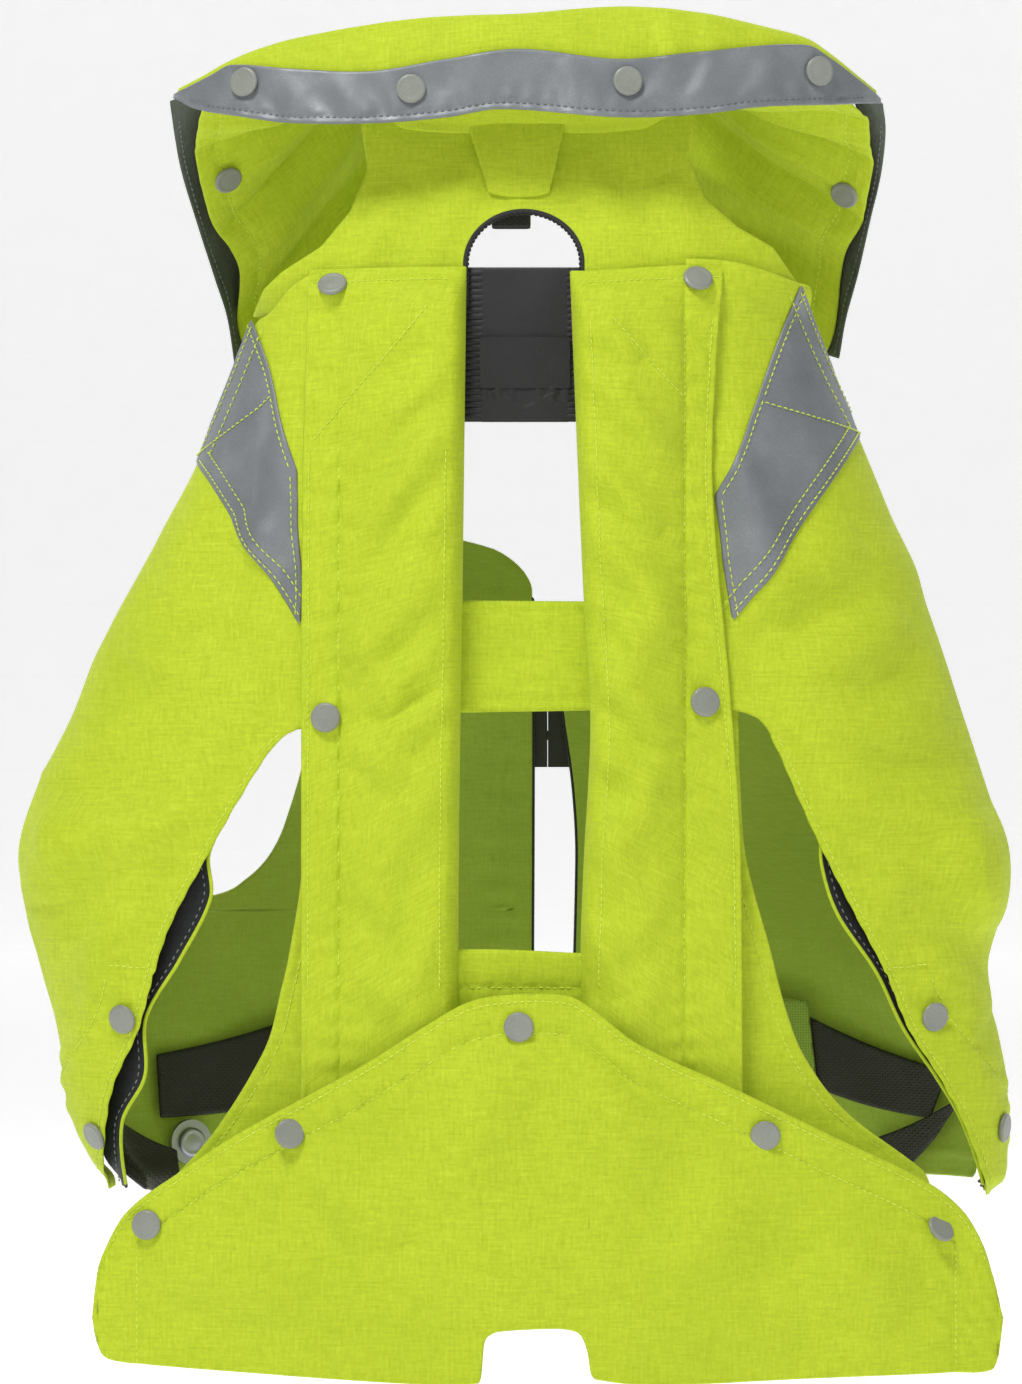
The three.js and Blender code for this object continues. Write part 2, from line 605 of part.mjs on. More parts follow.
function socket() {
  const middle = buckleDepth / 2;
  const outside = box(femaleLength, buckleDepth, buckleHeight).translate(-femaleLength / 2, middle, 0);
  const cavity = box(22, buckleDepth - 2 * buckleWall, mouthHeight).translate(-11 + 0.01, middle, 0);
  const windows = box(10, buckleDepth - 2 * buckleWall, buckleHeight + 4).translate(-13.2, middle, 0);
  const slot = box(slotGap, buckleDepth + 4, webbingHeight + 2).translate(-femaleLength + barWidth + slotGap / 2, middle, 0);
  return outside.subtract(cavity).subtract(windows).subtract(slot);
}

function plug() {
  const middle = buckleDepth / 2;
  const base = box(maleLength, buckleDepth, buckleHeight).translate(clearance + maleLength / 2, middle, 0);
  const guide = box(plugLength, 2.5, 5).translate(clearance - plugLength / 2 + 0.01, middle, 0);
  const slot = box(slotGap, buckleDepth + 4, webbingHeight + 2)
    .translate(clearance + maleLength - barWidth - slotGap / 2, middle, 0);
  return base.add(guide).subtract(slot);
}

// One springy prong: a tapering arm with a head that fills the socket's side window.
function prong(up) {
  const outline = new THREE.Shape([[0, 6.5], [0, 6.5 + prongWidth], [-8.8, 11.8], [-9, 15.2], [-14, 15.8], [-17.4, 13.2],
    [-17.4, 10.2], [-9, 7.6]].map(([x, z]) => new THREE.Vector2(x, z * up)));
  const depth = buckleDepth - 2 * buckleWall - 1;
  const made = new THREE.ExtrudeGeometry(outline, { depth, bevelEnabled: false });
  return solidOf(made.rotateX(Math.PI / 2)).translate(0, (buckleDepth + depth) / 2, 0);
}

function placeBuckle() {
  const at = trunk(180 - angleOf(buckleCentre.x, buckleCentre.z), buckleCentre.z, webbingBase + strapThickness + webbingStandoff);
  buckle.position.copy(at);
  vest.add(buckle);
}
placeBuckle();
piece("buckle_socket", socket(), blackPlastic, buckle);
piece("buckle_plug", plug(), blackPlastic, buckle);
piece("buckle_prong_upper", prong(1), blackPlastic, buckle);
piece("buckle_prong_lower", prong(-1), blackPlastic, buckle);

// Each webbing lies on its panel, passes behind the buckle's bar, up its slot and back over itself.
function buckleWebbing(side) {
  const slotX = side < 0 ? femaleLength - barWidth - slotGap / 2 : clearance + maleLength - barWidth - slotGap / 2;
  const over = buckleDepth + 1.4;
  const path = [[slotX + 49, -1.9], [slotX, -1.9], [slotX, over], [slotX + 5.2, over], [slotX + 10.8, 0.4], [slotX + 36, 0.4]];
  const ribbon = ribbonShape(path.map(([x, y]) => new THREE.Vector2(side * x, y)), strapThickness);
  const strip = new THREE.ExtrudeGeometry(ribbon, { depth: webbingHeight, bevelEnabled: false });
  return solidOf(strip.translate(0, 0, -webbingHeight / 2));
}

// The outline of a ribbon of even thickness along an open path.
function ribbonShape(path, thickness) {
  const edge = (hand) => path.map((point, i) => {
    const before = path[Math.max(i - 1, 0)];
    const after = path[Math.min(i + 1, path.length - 1)];
    const arriving = point === before ? after.clone().sub(point) : point.clone().sub(before);
    const leaving = point === after ? arriving : after.clone().sub(point);
    const first = arriving.clone().normalize();
    const mitre = first.clone().add(leaving.clone().normalize()).normalize();
    const sideways = new THREE.Vector2(-mitre.y, mitre.x);
    const reach = thickness / 2 / sideways.dot(new THREE.Vector2(-first.y, first.x));
    return point.clone().addScaledVector(sideways, hand * reach);
  });
  return new THREE.Shape([...edge(1), ...edge(-1).reverse()]);
}
for (const [name, side] of Object.entries(sides)) piece(`buckle_webbing_${name}`, buckleWebbing(side), blackFabric, buckle);

// ---- Elastic straps between the back base and the wings -------------------------------------------

function strap(name, from, to, height, under) {
  const side = sides[name];
  const place = (u, v, depth) => {
    const x = side * blend(from[0], to[0], u);
    return backPoint(x, blend(from[1], to[1], u) + (v - 0.5) * height, depth);
  };
  return sheet(place, -under - strapThickness, -under, steps(8), [0, 1]);
}
const upperUnder = 2; // trunk surface to each strap's outer face
const lowerUnder = 6;
const hipElasticHeight = 22;
piece("strap_upper_left", strap("left", [112, 166], [203, 146], elasticHeight, upperUnder), blackFabric);
piece("strap_lower_left", strap("left", [176, 96], [212, 116], hipElasticHeight, lowerUnder), blackFabric);
piece("strap_upper_right", strap("right", [122, 162], [222, 138], hipStrapHeight, upperUnder), blackFabric);
piece("strap_lower_right", strap("right", [182, 100], [216, 118], hipElasticHeight, lowerUnder), blackFabric);

const anchorDepth = shell + clearance;
piece("strap_anchor_right", sheet((x, z, depth) => backPoint(x, z, depth), anchorDepth, anchorDepth + liner,
  [125, 131, 137.5], [146, 164, 181]), yellowFabric);

// ---- Collar --------------------------------------------------------------------------------------

// Two edges of the collar, from the middle of the back over a shoulder and down the front: the one
// that is sewn to the vest, and the free one. Each table pairs a share of the way with a distance.
const curve = (...tables) => tables.map((table) => through(table));
const sewnEdge = curve(
  [[0, 0], [0.25, 58], [0.45, 84], [0.6, 92], [0.75, 94], [0.9, 82], [1, 66]],
  [[0, -65], [0.25, -63], [0.45, -44], [0.6, -6], [0.75, 40], [0.9, 92], [1, 116]],
  [[0, 645], [0.25, 647], [0.45, 668], [0.6, 684], [0.75, 676], [0.9, 618], [1, 530]]);
const freeEdge = curve(
  [[0, 0], [0.25, 72], [0.45, 150], [0.6, 178], [0.75, 172], [0.9, 152], [1, 112]],
  [[0, -78], [0.25, -74], [0.45, -56], [0.6, -12], [0.75, 40], [0.9, 90], [1, 116]],
  [[0, 697], [0.25, 700], [0.45, 684], [0.6, 664], [0.75, 612], [0.9, 547], [1, 470]]);

const edgeAt = (edge, t) => {
  const [x, y, z] = edge.map((part) => part(Math.abs(t)));
  return new THREE.Vector3(Math.sign(t) * x * widthGrade, y, z * lengthGrade);
};

// A point on the collar: t along it from -1 to 1, v across it from sewn to free edge, depth outwards.
function collarPoint(t, v, depth) {
  const at = (s, w) => edgeAt(sewnEdge, s).lerp(edgeAt(freeEdge, s), w);
  const step = 0.01;
  const along = at(Math.min(t + step, 1), v).sub(at(Math.max(t - step, -1), v));
  const across = edgeAt(freeEdge, t).sub(edgeAt(sewnEdge, t));
  const outward = along.cross(across).normalize();
  return at(t, v).addScaledVector(outward, depth);
}

const collarColumns = mirrored([0, 0.12, 0.25, 0.35, 0.42, 0.48, 0.54, 0.6, 0.68, 0.75, 0.83, 0.9, 1]);
const collarRows = [0, 0.14, 0.45, 0.7, 0.86, 1];
const collarOuter = liner + bladderThickness + 2 * layerGap;

// Every layer uses the same rows and columns, so that they stay parallel.
function collarLayer(inner, thickness, low, high, reach) {
  const columns = collarColumns.filter((t) => Math.abs(t) <= reach);
  const rows = collarRows.filter((v) => v >= low && v <= high);
  return sheet(collarPoint, inner, inner + thickness, columns, rows);
}
piece("collar_lining", collarLayer(0, liner, 0, 1, 1), blackFabric);
piece("collar_bladder", collarLayer(liner + layerGap, bladderThickness, 0.14, 0.86, 0.9), bladderFilm);
piece("collar_cover", collarLayer(collarOuter, shell, 0, 1, 1), yellowFabric);
piece("collar_band", collarLayer(collarOuter + shell + clearance, liner, 0.45, 1, 0.6), reflective);

export default group;
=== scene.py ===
"""A wearable airbag vest, dressed for its look: woven hi-vis covers over folded bladders, hung on an unseen trunk.

Lengths in the shape functions are millimetres, with heights above the tail's hem. to_metres() sets them in the frame.
"""

import bpy
import numpy as np
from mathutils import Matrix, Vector


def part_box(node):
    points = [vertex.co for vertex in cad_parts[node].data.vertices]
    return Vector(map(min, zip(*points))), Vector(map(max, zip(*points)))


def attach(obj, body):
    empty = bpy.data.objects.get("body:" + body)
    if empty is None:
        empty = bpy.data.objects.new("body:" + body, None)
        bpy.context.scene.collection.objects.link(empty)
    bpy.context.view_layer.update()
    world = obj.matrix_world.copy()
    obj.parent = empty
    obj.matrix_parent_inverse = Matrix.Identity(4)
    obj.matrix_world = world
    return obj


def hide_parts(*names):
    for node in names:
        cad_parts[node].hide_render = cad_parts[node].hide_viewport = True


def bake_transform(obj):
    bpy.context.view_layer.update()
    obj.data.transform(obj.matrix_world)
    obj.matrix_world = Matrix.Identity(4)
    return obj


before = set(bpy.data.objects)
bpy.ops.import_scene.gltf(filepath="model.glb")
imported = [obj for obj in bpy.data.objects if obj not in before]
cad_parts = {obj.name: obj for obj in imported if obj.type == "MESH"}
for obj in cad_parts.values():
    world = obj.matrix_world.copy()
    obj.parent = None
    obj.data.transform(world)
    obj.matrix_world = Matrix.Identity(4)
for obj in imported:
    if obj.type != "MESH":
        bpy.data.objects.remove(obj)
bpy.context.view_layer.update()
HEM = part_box("tail_cover")[0].z  # height of the tail's hem in the frame

# ---- Measures of the vest, as the cutter has them -------------------------------------------------

TRUNK_DEPTH = 98.0
SQUARENESS = 2.4
WING_FACE = 9.8  # trunk surface to the middle of a wing's outer fabric
COVER_EDGE = 13.4  # trunk surface to the middle of a back cover's fabric, at its edges
TAIL_FACE = 20.6  # trunk surface to the middle of the tail's outer fabric, at its hem
TAIL_SPREAD = 290.0
CLOTH = 1.5  # outer fabric with its backing
SNAP_RADIUS = 7.5


def through(table):
    """A smooth curve through [position, value] pairs: cubic Hermite, with each slope that of the chord between
    the neighbours, and flat past both ends."""
    place, value = np.array(table, float).T
    slope = np.gradient(value, place) if len(table) < 3 else np.empty_like(value)
    if len(table) > 2:
        slope[1:-1] = (value[2:] - value[:-2]) / (place[2:] - place[:-2])
        slope[0] = (value[1] - value[0]) / (place[1] - place[0])
        slope[-1] = (value[-1] - value[-2]) / (place[-1] - place[-2])

    def curve(x):
        x = np.clip(np.asarray(x, float), place[0], place[-1])
        i = np.clip(np.searchsorted(place, x, side="right") - 1, 0, len(place) - 2)
        w = place[i + 1] - place[i]
        t = (x - place[i]) / w
        start = value[i] * (1 + 2 * t) * (1 - t) ** 2 + slope[i] * w * t * (1 - t) ** 2
        return start + value[i + 1] * t * t * (3 - 2 * t) - slope[i + 1] * w * t * t * (1 - t)

    return curve


def smooth(x, low, high):
    """0 below low, 1 above high, and the smooth cubic step between them."""
    t = np.clip((np.asarray(x, float) - low) / (high - low), 0, 1)
    return t * t * (3 - 2 * t)


def signed_power(value, exponent):
    return np.sign(value) * np.abs(value) ** exponent


def bell(x, width):
    """A bump that is 1 at 0 and fades as exp(-(x/width)^2)."""
    return np.exp(-((np.asarray(x, float) / width) ** 2))


left_width = through([[0, 215], [60, 209], [95, 207], [107, 215], [133, 226], [172, 234], [211, 242], [237, 250],
                      [266, 255], [296, 247], [337, 227], [374, 212], [414, 188], [430, 179], [471, 160], [541, 141],
                      [565, 152], [640, 170], [700, 172]])
right_width = through([[0, 240], [60, 234], [90, 232], [98, 240], [139, 241], [172, 236], [202, 231], [237, 239],
                       [266, 240], [296, 231], [331, 221], [394, 199], [416, 193], [445, 179], [487, 161],
                       [541, 146], [565, 158], [640, 170], [700, 172]])
trunk_depth = through([[0, 1.02], [400, 1], [520, 0.96], [560, 0.9], [640, 0.68], [700, 0.58]])


def half_width(side, z):
    """The trunk's half width, which is a little different on the two sides, as the vest hangs."""
    return np.where(np.asarray(side) < 0, left_width(z), right_width(z))


def sway(z):
    """The hem hangs 16 mm to one side, fading to none at 190 mm."""
    return np.where(z < 190, 16 * (1 - np.clip(z, 0, 190) / 190), 0.0)


def stacked(x, y, z):
    return np.stack(np.broadcast_arrays(x, y, z), axis=-1)


def trunk(angle, z, depth):
    """Superellipse round the trunk, |x/a|^2.4 + |y/b|^2.4 = 1, at an angle in degrees from the spine, negative on the
    left; depth grows both half axes."""
    turn = np.radians(angle)
    x = (half_width(angle, z) + depth) * signed_power(np.sin(turn), 2 / SQUARENESS)
    y = -(trunk_depth(z) * TRUNK_DEPTH + depth) * signed_power(np.cos(turn), 2 / SQUARENESS)
    return stacked(x, y, z)


def angle_at(x, z, depth):
    """The angle from the spine at which the trunk has this x, up to 90."""
    share = np.clip(np.abs(x) / (half_width(x, z) + depth), 0, 0.9999)
    return np.sign(x) * np.degrees(np.arcsin(share ** (SQUARENESS / 2)))


def on_back(x, z, depth):
    """The back half of the same superellipse, as y over x and z."""
    share = np.clip(np.abs(x) / (half_width(x, z) + depth), 0, 0.9999)
    y = -(trunk_depth(z) * TRUNK_DEPTH + depth) * (1 - share**SQUARENESS) ** (1 / SQUARENESS)
    return stacked(x, y, z)


def on_front(x, z, depth):
    return on_back(x, z, depth) * (1, -1, 1)


def on_tail(x, z, depth):
    """A flatter superellipse, 290 mm in half width, that the tail stands on, away from the hips."""
    share = np.abs(x - sway(z)) / (TAIL_SPREAD + depth)
    y = -(trunk_depth(z) * TRUNK_DEPTH + depth) * (1 - share**SQUARENESS) ** (1 / SQUARENESS)
    return stacked(x, y, z)


# ---- Folds, puckers and rumples -------------------------------------------------------------------


def folds(x, z, strokes, spread=1.35):
    """Sum of creases. Each stroke is x0, z0, x1, z1, width, height: across it a ridge exp(-(s/w)^2) with a
    shallower valley at 1.7 widths beside it, and along it a taper to nothing at both ends."""
    total = np.zeros(np.broadcast(x, z).shape)
    for x0, z0, x1, z1, width, height in strokes:
        length, width = np.hypot(x1 - x0, z1 - z0), width * spread
        ux, uz = (x1 - x0) / length, (z1 - z0) / length
        along = ((x - x0) * ux + (z - z0) * uz) / length
        aside = (x - x0) * -uz + (z - z0) * ux
        aside = aside + 0.12 * length * (along - 0.5) ** 2
        taper = np.clip(1 - np.abs(2 * along - 1) ** 3, 0, 1)
        total += height * taper * (bell(aside, width) - 0.6 * bell(aside + 1.7 * width, width))
    return total


def rumple(x, z, seed, wavelength, height):
    """Soft unevenness: seven sine waves in seeded directions, each between one and 2.6 wavelengths long."""
    rng = np.random.default_rng(seed)
    total = np.zeros(np.broadcast(x, z).shape)
    for _ in range(7):
        angle, phase = rng.uniform(0, np.pi), rng.uniform(0, 2 * np.pi)
        length = wavelength * rng.uniform(1, 2.6)
        total += np.sin((x * np.cos(angle) + z * np.sin(angle)) * 2 * np.pi / length + phase)
    return height * total / 4


def soft_floor(value, lowest):
    """Keeps cloth off what lies under it: value above the lowest it may sink to, levelling out softly near it."""
    room = value - lowest
    return lowest + np.where(room > 0.8, room, 0.8 * np.exp(np.minimum(room - 0.8, 0) / 0.8))


def seam_dent(distance, along, dent=0.9, pucker=0.35, wavelength=13.0):
    """What a row of stitching does to cloth: a groove along it, and small puckers across it that fade in 9 mm."""
    groove = -dent * bell(distance, 1.6)
    wave = np.sin(along * 2 * np.pi / wavelength + 2.1 * np.sin(along / 31.0))
    return groove + pucker * wave * bell(distance, 8.0) * (1 - bell(distance, 1.5))


# ---- Mesh building ---------------------------------------------------------------------------------


def to_metres(points):
    return np.asarray(points, float).reshape(-1, 3) * 0.001 + (0, 0, HEM)


def make_mesh(name, points, faces, material, uv=None, smooth_faces=True):
    """A mesh object at the origin from points in millimetres and a list of face arrays, with a uv per point in
    metres, so that a weave's size is real."""
    mesh = bpy.data.meshes.new(name)
    mesh.from_pydata(to_metres(points).tolist(), [], [f for block in faces for f in block.tolist()])
    mesh.materials.append(material)
    if smooth_faces:
        mesh.polygons.foreach_set("use_smooth", np.ones(len(mesh.polygons), bool))
    if uv is not None:
        corner = np.empty(len(mesh.loops), np.int32)
        mesh.loops.foreach_get("vertex_index", corner)
        layer = mesh.uv_layers.new(name="cloth")
        layer.data.foreach_set("uv", (np.asarray(uv, float).reshape(-1, 2)[corner] * 0.001).astype(np.float32).ravel())
    mesh.validate()
    mesh.update()
    piece = bpy.data.objects.new(name, mesh)
    bpy.context.scene.collection.objects.link(piece)
    return piece


def normals_of(points):
    """Unit normals of a grid of points, from the cross product of its row and column differences."""
    du, dv = np.gradient(points, axis=1), np.gradient(points, axis=0)
    n = np.cross(du, dv)
    return n / np.maximum(np.linalg.norm(n, axis=-1, keepdims=True), 1e-9)


def grid_faces(rows, columns, first=0, flip=False):
    i, j = np.meshgrid(np.arange(rows - 1), np.arange(columns - 1), indexing="ij")
    a = (first + i * columns + j).ravel()
    quad = np.stack([a, a + 1, a + 1 + columns, a + columns], axis=1)
    return quad[:, ::-1] if flip else quad


def border_of(rows, columns):
    """Indices round a grid's edge, anticlockwise as its normal sees it."""
    k = np.arange(rows * columns).reshape(rows, columns)
    return np.concatenate([k[0, :-1], k[:-1, -1], k[-1, :0:-1], k[:0:-1, 0]])


def flat_map(points, x, z):
    """Cut-pattern coordinates of a grid: distance along each row, from the place where the row starts, and along
    the columns, as they'd lie on the table."""
    step = np.linalg.norm(np.diff(points, axis=1), axis=-1)
    across = np.concatenate([np.zeros((len(points), 1)), np.cumsum(step, axis=1)], axis=1) + x[:, :1]
    rise = np.linalg.norm(np.diff(points, axis=0), axis=-1).mean(axis=1)
    up = np.concatenate([[0], np.cumsum(rise)]) + z.mean(axis=1)[0]
    return np.stack([across, np.broadcast_to(up[:, None], across.shape)], axis=-1)


def cloth(name, points, material, thickness=CLOTH, uv=None):
    """A cut piece of cloth from a grid of its middle surface: both faces lie half a thickness off it along the
    normal, and a rounded edge joins them. thickness is a number, or a grid of them for a pillow."""
    rows, columns = points.shape[:2]
    half = np.broadcast_to(np.asarray(thickness, float) / 2, (rows, columns))[..., None]
    normal = normals_of(points)
    ring = border_of(rows, columns)
    flat_points, flat_normal = points.reshape(-1, 3), normal.reshape(-1, 3)
    ahead = np.roll(flat_points[ring], -1, axis=0) - np.roll(flat_points[ring], 1, axis=0)
    out = np.cross(ahead, flat_normal[ring])
    out /= np.maximum(np.linalg.norm(out, axis=1, keepdims=True), 1e-9)
    edge = flat_points[ring] + out * half.reshape(-1, 1)[ring]
    count = rows * columns
    everything = np.concatenate([(points + normal * half).reshape(-1, 3), (points - normal * half).reshape(-1, 3), edge])
    after = np.roll(ring, -1)
    rim = 2 * count + np.arange(len(ring))
    rim_after = np.roll(rim, -1)
    faces = [grid_faces(rows, columns), grid_faces(rows, columns, count, flip=True),
             np.stack([after, ring, rim, rim_after], axis=1),
             np.stack([rim_after, rim, ring + count, after + count], axis=1)]
    if uv is None:
        uv = flat_map(points, points[..., 0], points[..., 2])
    table = uv.reshape(-1, 2)
    return make_mesh(name, everything, faces, material, np.concatenate([table, table, table[ring]]))


def spaced(line, gap):
    """Points every gap along a polyline, with the direction there."""
    step = np.linalg.norm(np.diff(line, axis=0), axis=1)
    way = np.concatenate([[0], np.cumsum(step)])
    at = np.arange(gap / 2, way[-1], gap)
    points = np.stack([np.interp(at, way, line[:, k]) for k in range(3)], axis=1)
    ahead = np.stack([np.interp(at + 0.5, way, line[:, k]) for k in range(3)], axis=1)
    behind = np.stack([np.interp(at - 0.5, way, line[:, k]) for k in range(3)], axis=1)
    along = ahead - behind
    return points, along / np.maximum(np.linalg.norm(along, axis=1, keepdims=True), 1e-9)


def stitches(name, lines, material, gap=3.5, length=2.7, radius=0.36):
    """Rows of lockstitch. Each stitch is a six-sided spindle, arched so that its ends dip into the cloth, set along
    a line of (points, normals)."""
    sides, rings = 6, 5
    t = np.linspace(-1, 1, rings)
    ring_radius = radius * np.sqrt(np.clip(1 - (0.97 * t) ** 4, 0.02, 1))
    spin = np.arange(sides) * 2 * np.pi / sides
    shape = np.stack([np.repeat(t * length / 2, sides), np.tile(np.cos(spin), rings) * np.repeat(ring_radius, sides),
                      np.tile(np.sin(spin), rings) * np.repeat(ring_radius, sides)
                      + np.repeat(0.25 - 0.55 * t**2, sides)], axis=1)
    i, j = np.meshgrid(np.arange(rings - 1), np.arange(sides), indexing="ij")
    a, b = (i * sides + j).ravel(), (i * sides + (j + 1) % sides).ravel()
    wall = np.stack([a, a + sides, b + sides, b], axis=1)
    points, faces, caps, first = [], [], [], 0
    for line, normal in lines:
        at, along = spaced(line, gap)
        if not len(at):
            continue
        nearest = np.clip(np.searchsorted(np.concatenate([[0], np.cumsum(np.linalg.norm(np.diff(line, axis=0), axis=1))]),
                                          (np.arange(len(at)) + 0.5) * gap), 0, len(line) - 1)
        up = normal[nearest]
        side = np.cross(up, along)
        side /= np.maximum(np.linalg.norm(side, axis=1, keepdims=True), 1e-9)
        up = np.cross(along, side)
        made = (at[:, None] + shape[None, :, :1] * along[:, None] + shape[None, :, 1:2] * side[:, None]
                + shape[None, :, 2:] * up[:, None])
        offset = first + np.arange(len(at)) * sides * rings
        points.append(made.reshape(-1, 3))
        faces.append((wall[None] + offset[:, None, None]).reshape(-1, 4))
        end = np.arange(sides)
        caps.append((end[None] + offset[:, None]))
        caps.append((end[::-1][None] + offset[:, None] + sides * (rings - 1)))
        first += len(at) * sides * rings
    return make_mesh(name, np.concatenate(points), [np.concatenate(faces), np.concatenate(caps)], material)


def line_on(surface, a, b, lift, count=160):
    """A line of points on surface(a, b), lifted off it, with the surface's normals there."""
    a, b = np.broadcast_arrays(np.asarray(a, float), np.asarray(b, float))
    if len(a) < count:
        s = np.linspace(0, 1, count)
        old = np.linspace(0, 1, len(a))
        a, b = np.interp(s, old, a), np.interp(s, old, b)
    here = surface(a, b)
    normal = np.cross(surface(a + 0.4, b) - here, surface(a, b + 0.4) - here)
    normal /= np.maximum(np.linalg.norm(normal, axis=1, keepdims=True), 1e-9)
    return here + normal * lift, normal

# ---- Materials ---------------------------------------------------------------------------------------


def linear(hexes):
    """sRGB hex to a linear RGBA colour."""
    s = np.array([int(hexes[k:k + 2], 16) for k in (1, 3, 5)]) / 255
    return (*np.where(s <= 0.04045, s / 12.92, ((s + 0.055) / 1.055) ** 2.4).tolist(), 1.0)


def material(name):
    m = bpy.data.materials.new(name)
    m.use_nodes = True
    m.node_tree.nodes.clear()
    return m


def add(m, kind, settings=None, **inputs):
    """Adds a node with its settings. An input is a value, or (node, output) to link from."""
    node = m.node_tree.nodes.new("ShaderNode" + kind)
    for key, value in (settings or {}).items():
        setattr(node, key, value)
    for key, value in inputs.items():
        socket = node.inputs[int(key[1:])] if key[0] == "i" and key[1:].isdigit() else node.inputs[key.replace("_", " ")]
        if isinstance(value, tuple) and isinstance(value[0], bpy.types.Node):
            m.node_tree.links.new(value[0].outputs[value[1]], socket)
        else:
            socket.default_value = value
    return node


def ramp(m, source, stops, interpolation="LINEAR"):
    """A colour ramp fed by source, with stops of (position, hex)."""
    node = add(m, "ValToRGB", i0=source)
    node.color_ramp.interpolation = interpolation
    while len(node.color_ramp.elements) < len(stops):
        node.color_ramp.elements.new(0.5)
    for element, (position, hexes) in zip(node.color_ramp.elements, stops):
        element.position = position
        element.color = linear(hexes)
    return node


def math(m, operation, a, b=0.0, c=0.0):
    return add(m, "Math", {"operation": operation}, i0=a, i1=b, i2=c), 0


def finished(m, shader):
    add(m, "OutputMaterial", Surface=(shader, 0))
    return m


def weave_height(m, uv, pitch):
    """Plain weave from uv in metres, threads pitch apart: |sin| ribs of warp and weft that swap places in a
    checkerboard. Gives the height, 0 to 1, and the two thread counters."""
    count = add(m, "VectorMath", {"operation": "SCALE"}, i0=uv, Scale=1 / pitch)
    parts = add(m, "SeparateXYZ", i0=(count, 0))
    warp = math(m, "ABSOLUTE", math(m, "SINE", math(m, "MULTIPLY", (parts, 0), np.pi)))
    weft = math(m, "ABSOLUTE", math(m, "SINE", math(m, "MULTIPLY", (parts, 1), np.pi)))
    both = math(m, "ADD", math(m, "FLOOR", (parts, 0)), math(m, "FLOOR", (parts, 1)))
    over = math(m, "FLOORED_MODULO", both, 2.0)
    height = add(m, "Mix", {"data_type": "FLOAT"}, i0=over, i2=warp, i3=weft)
    return (height, 0), parts


def woven(name, thread_dark, thread_light, shade, pitch, roughness, sheen, glow=0.0, bump=0.25, height=0.00028,
          mottle=0.35, tint=None):
    """A woven cloth: threads of two tones, mixed thread by thread as spun yarn is, with soft darker patches."""
    m = material(name)
    uv = (add(m, "UVMap", {"uv_map": "cloth"}), 0)
    place = (add(m, "TexCoord"), 3)
    ribs, parts = weave_height(m, uv, pitch)
    warp_id = add(m, "CombineXYZ", X=math(m, "FLOOR", (parts, 0)), Y=math(m, "MULTIPLY", (parts, 1), 0.11))
    weft_id = add(m, "CombineXYZ", X=math(m, "MULTIPLY", (parts, 0), 0.11), Y=math(m, "FLOOR", (parts, 1)), Z=7.0)
    yarn_a = add(m, "TexNoise", i0=(warp_id, 0), Scale=0.9, Detail=2.0, Roughness=0.6)
    yarn_b = add(m, "TexNoise", i0=(weft_id, 0), Scale=0.9, Detail=2.0, Roughness=0.6)
    yarn = math(m, "MULTIPLY", math(m, "ADD", (yarn_a, 0), (yarn_b, 0)), 0.5)
    fleck = add(m, "TexNoise", i0=uv, Scale=520.0, Detail=2.0, Roughness=0.7)
    tone = math(m, "ADD", math(m, "MULTIPLY", yarn, 0.75), math(m, "MULTIPLY", (fleck, 0), 0.35))
    thread = ramp(m, tone, [(0.36, thread_dark), (0.70, thread_light)])
    cloud = add(m, "TexNoise", i0=place, Scale=14.0, Detail=4.0, Roughness=0.55)
    patch = math(m, "MULTIPLY", (add(m, "MapRange", i0=(cloud, 0), i1=0.42, i2=0.72), 0), mottle)
    base = add(m, "Mix", {"data_type": "RGBA"}, i0=patch, i6=(thread, 0), i7=linear(shade))
    gaps = (add(m, "MapRange", i0=ribs, i1=0.0, i2=0.5, i3=0.84, i4=1.0), 0)
    colour = add(m, "Mix", {"data_type": "RGBA", "blend_type": "MULTIPLY"}, i0=1.0, i6=(base, 2), i7=gaps)
    slub = add(m, "TexNoise", i0=place, Scale=900.0, Detail=2.0)
    height_now = math(m, "ADD", ribs, math(m, "MULTIPLY", (slub, 0), 0.25))
    bumped = add(m, "Bump", Strength=bump, Distance=height, Height=height_now)
    rough = (add(m, "MapRange", i0=(fleck, 0), i1=0.3, i2=0.7, i3=roughness - 0.07, i4=roughness + 0.07), 0)
    shader = add(m, "BsdfPrincipled", Base_Color=(colour, 2), Roughness=rough, IOR=1.52, Normal=(bumped, 0),
                 Sheen_Weight=sheen, Sheen_Roughness=0.5, Sheen_Tint=linear(tint or thread_light))
    shader.inputs["Specular IOR Level"].default_value = 0.28
    # Painted glow: an emission in the cloth's own colour that lights it from within, lifting its shaded parts with no
    # lamp behind it.
    if glow:
        m.node_tree.links.new(colour.outputs[2], shader.inputs["Emission Color"])
        shader.inputs["Emission Strength"].default_value = glow
    return finished(m, shader)


# Fluorescent polyester, plain woven of two-tone spun yarn: matt, with a fine salt-and-pepper of yellow and green
# threads, and a little painted glow, an emission in its own colour that makes it look lit in the shade. Threads are
# 0.4 mm apart in the cloth, and drawn 1.1 mm apart so that they show.
YELLOW = woven("polyester_woven_fluorescent_painted_glow", "#A6B91C", "#C0D230", "#98AE18", 0.0011, 0.78, 0.12, glow=0.07,
               tint="#E4F58A", mottle=0.22)
# The same cloth seen from its coated back: duller, closed by the coating, and coloured the deep green it shows in
# shade, which is painted shade, with a little painted glow as well.
BACKED_PAINTED_SHADE = woven("polyester_coated_back_painted_shade", "#96AE38", "#A9C14C", "#8CA534", 0.0011, 0.62, 0.05, glow=0.06, bump=0.12,
               mottle=0.2)
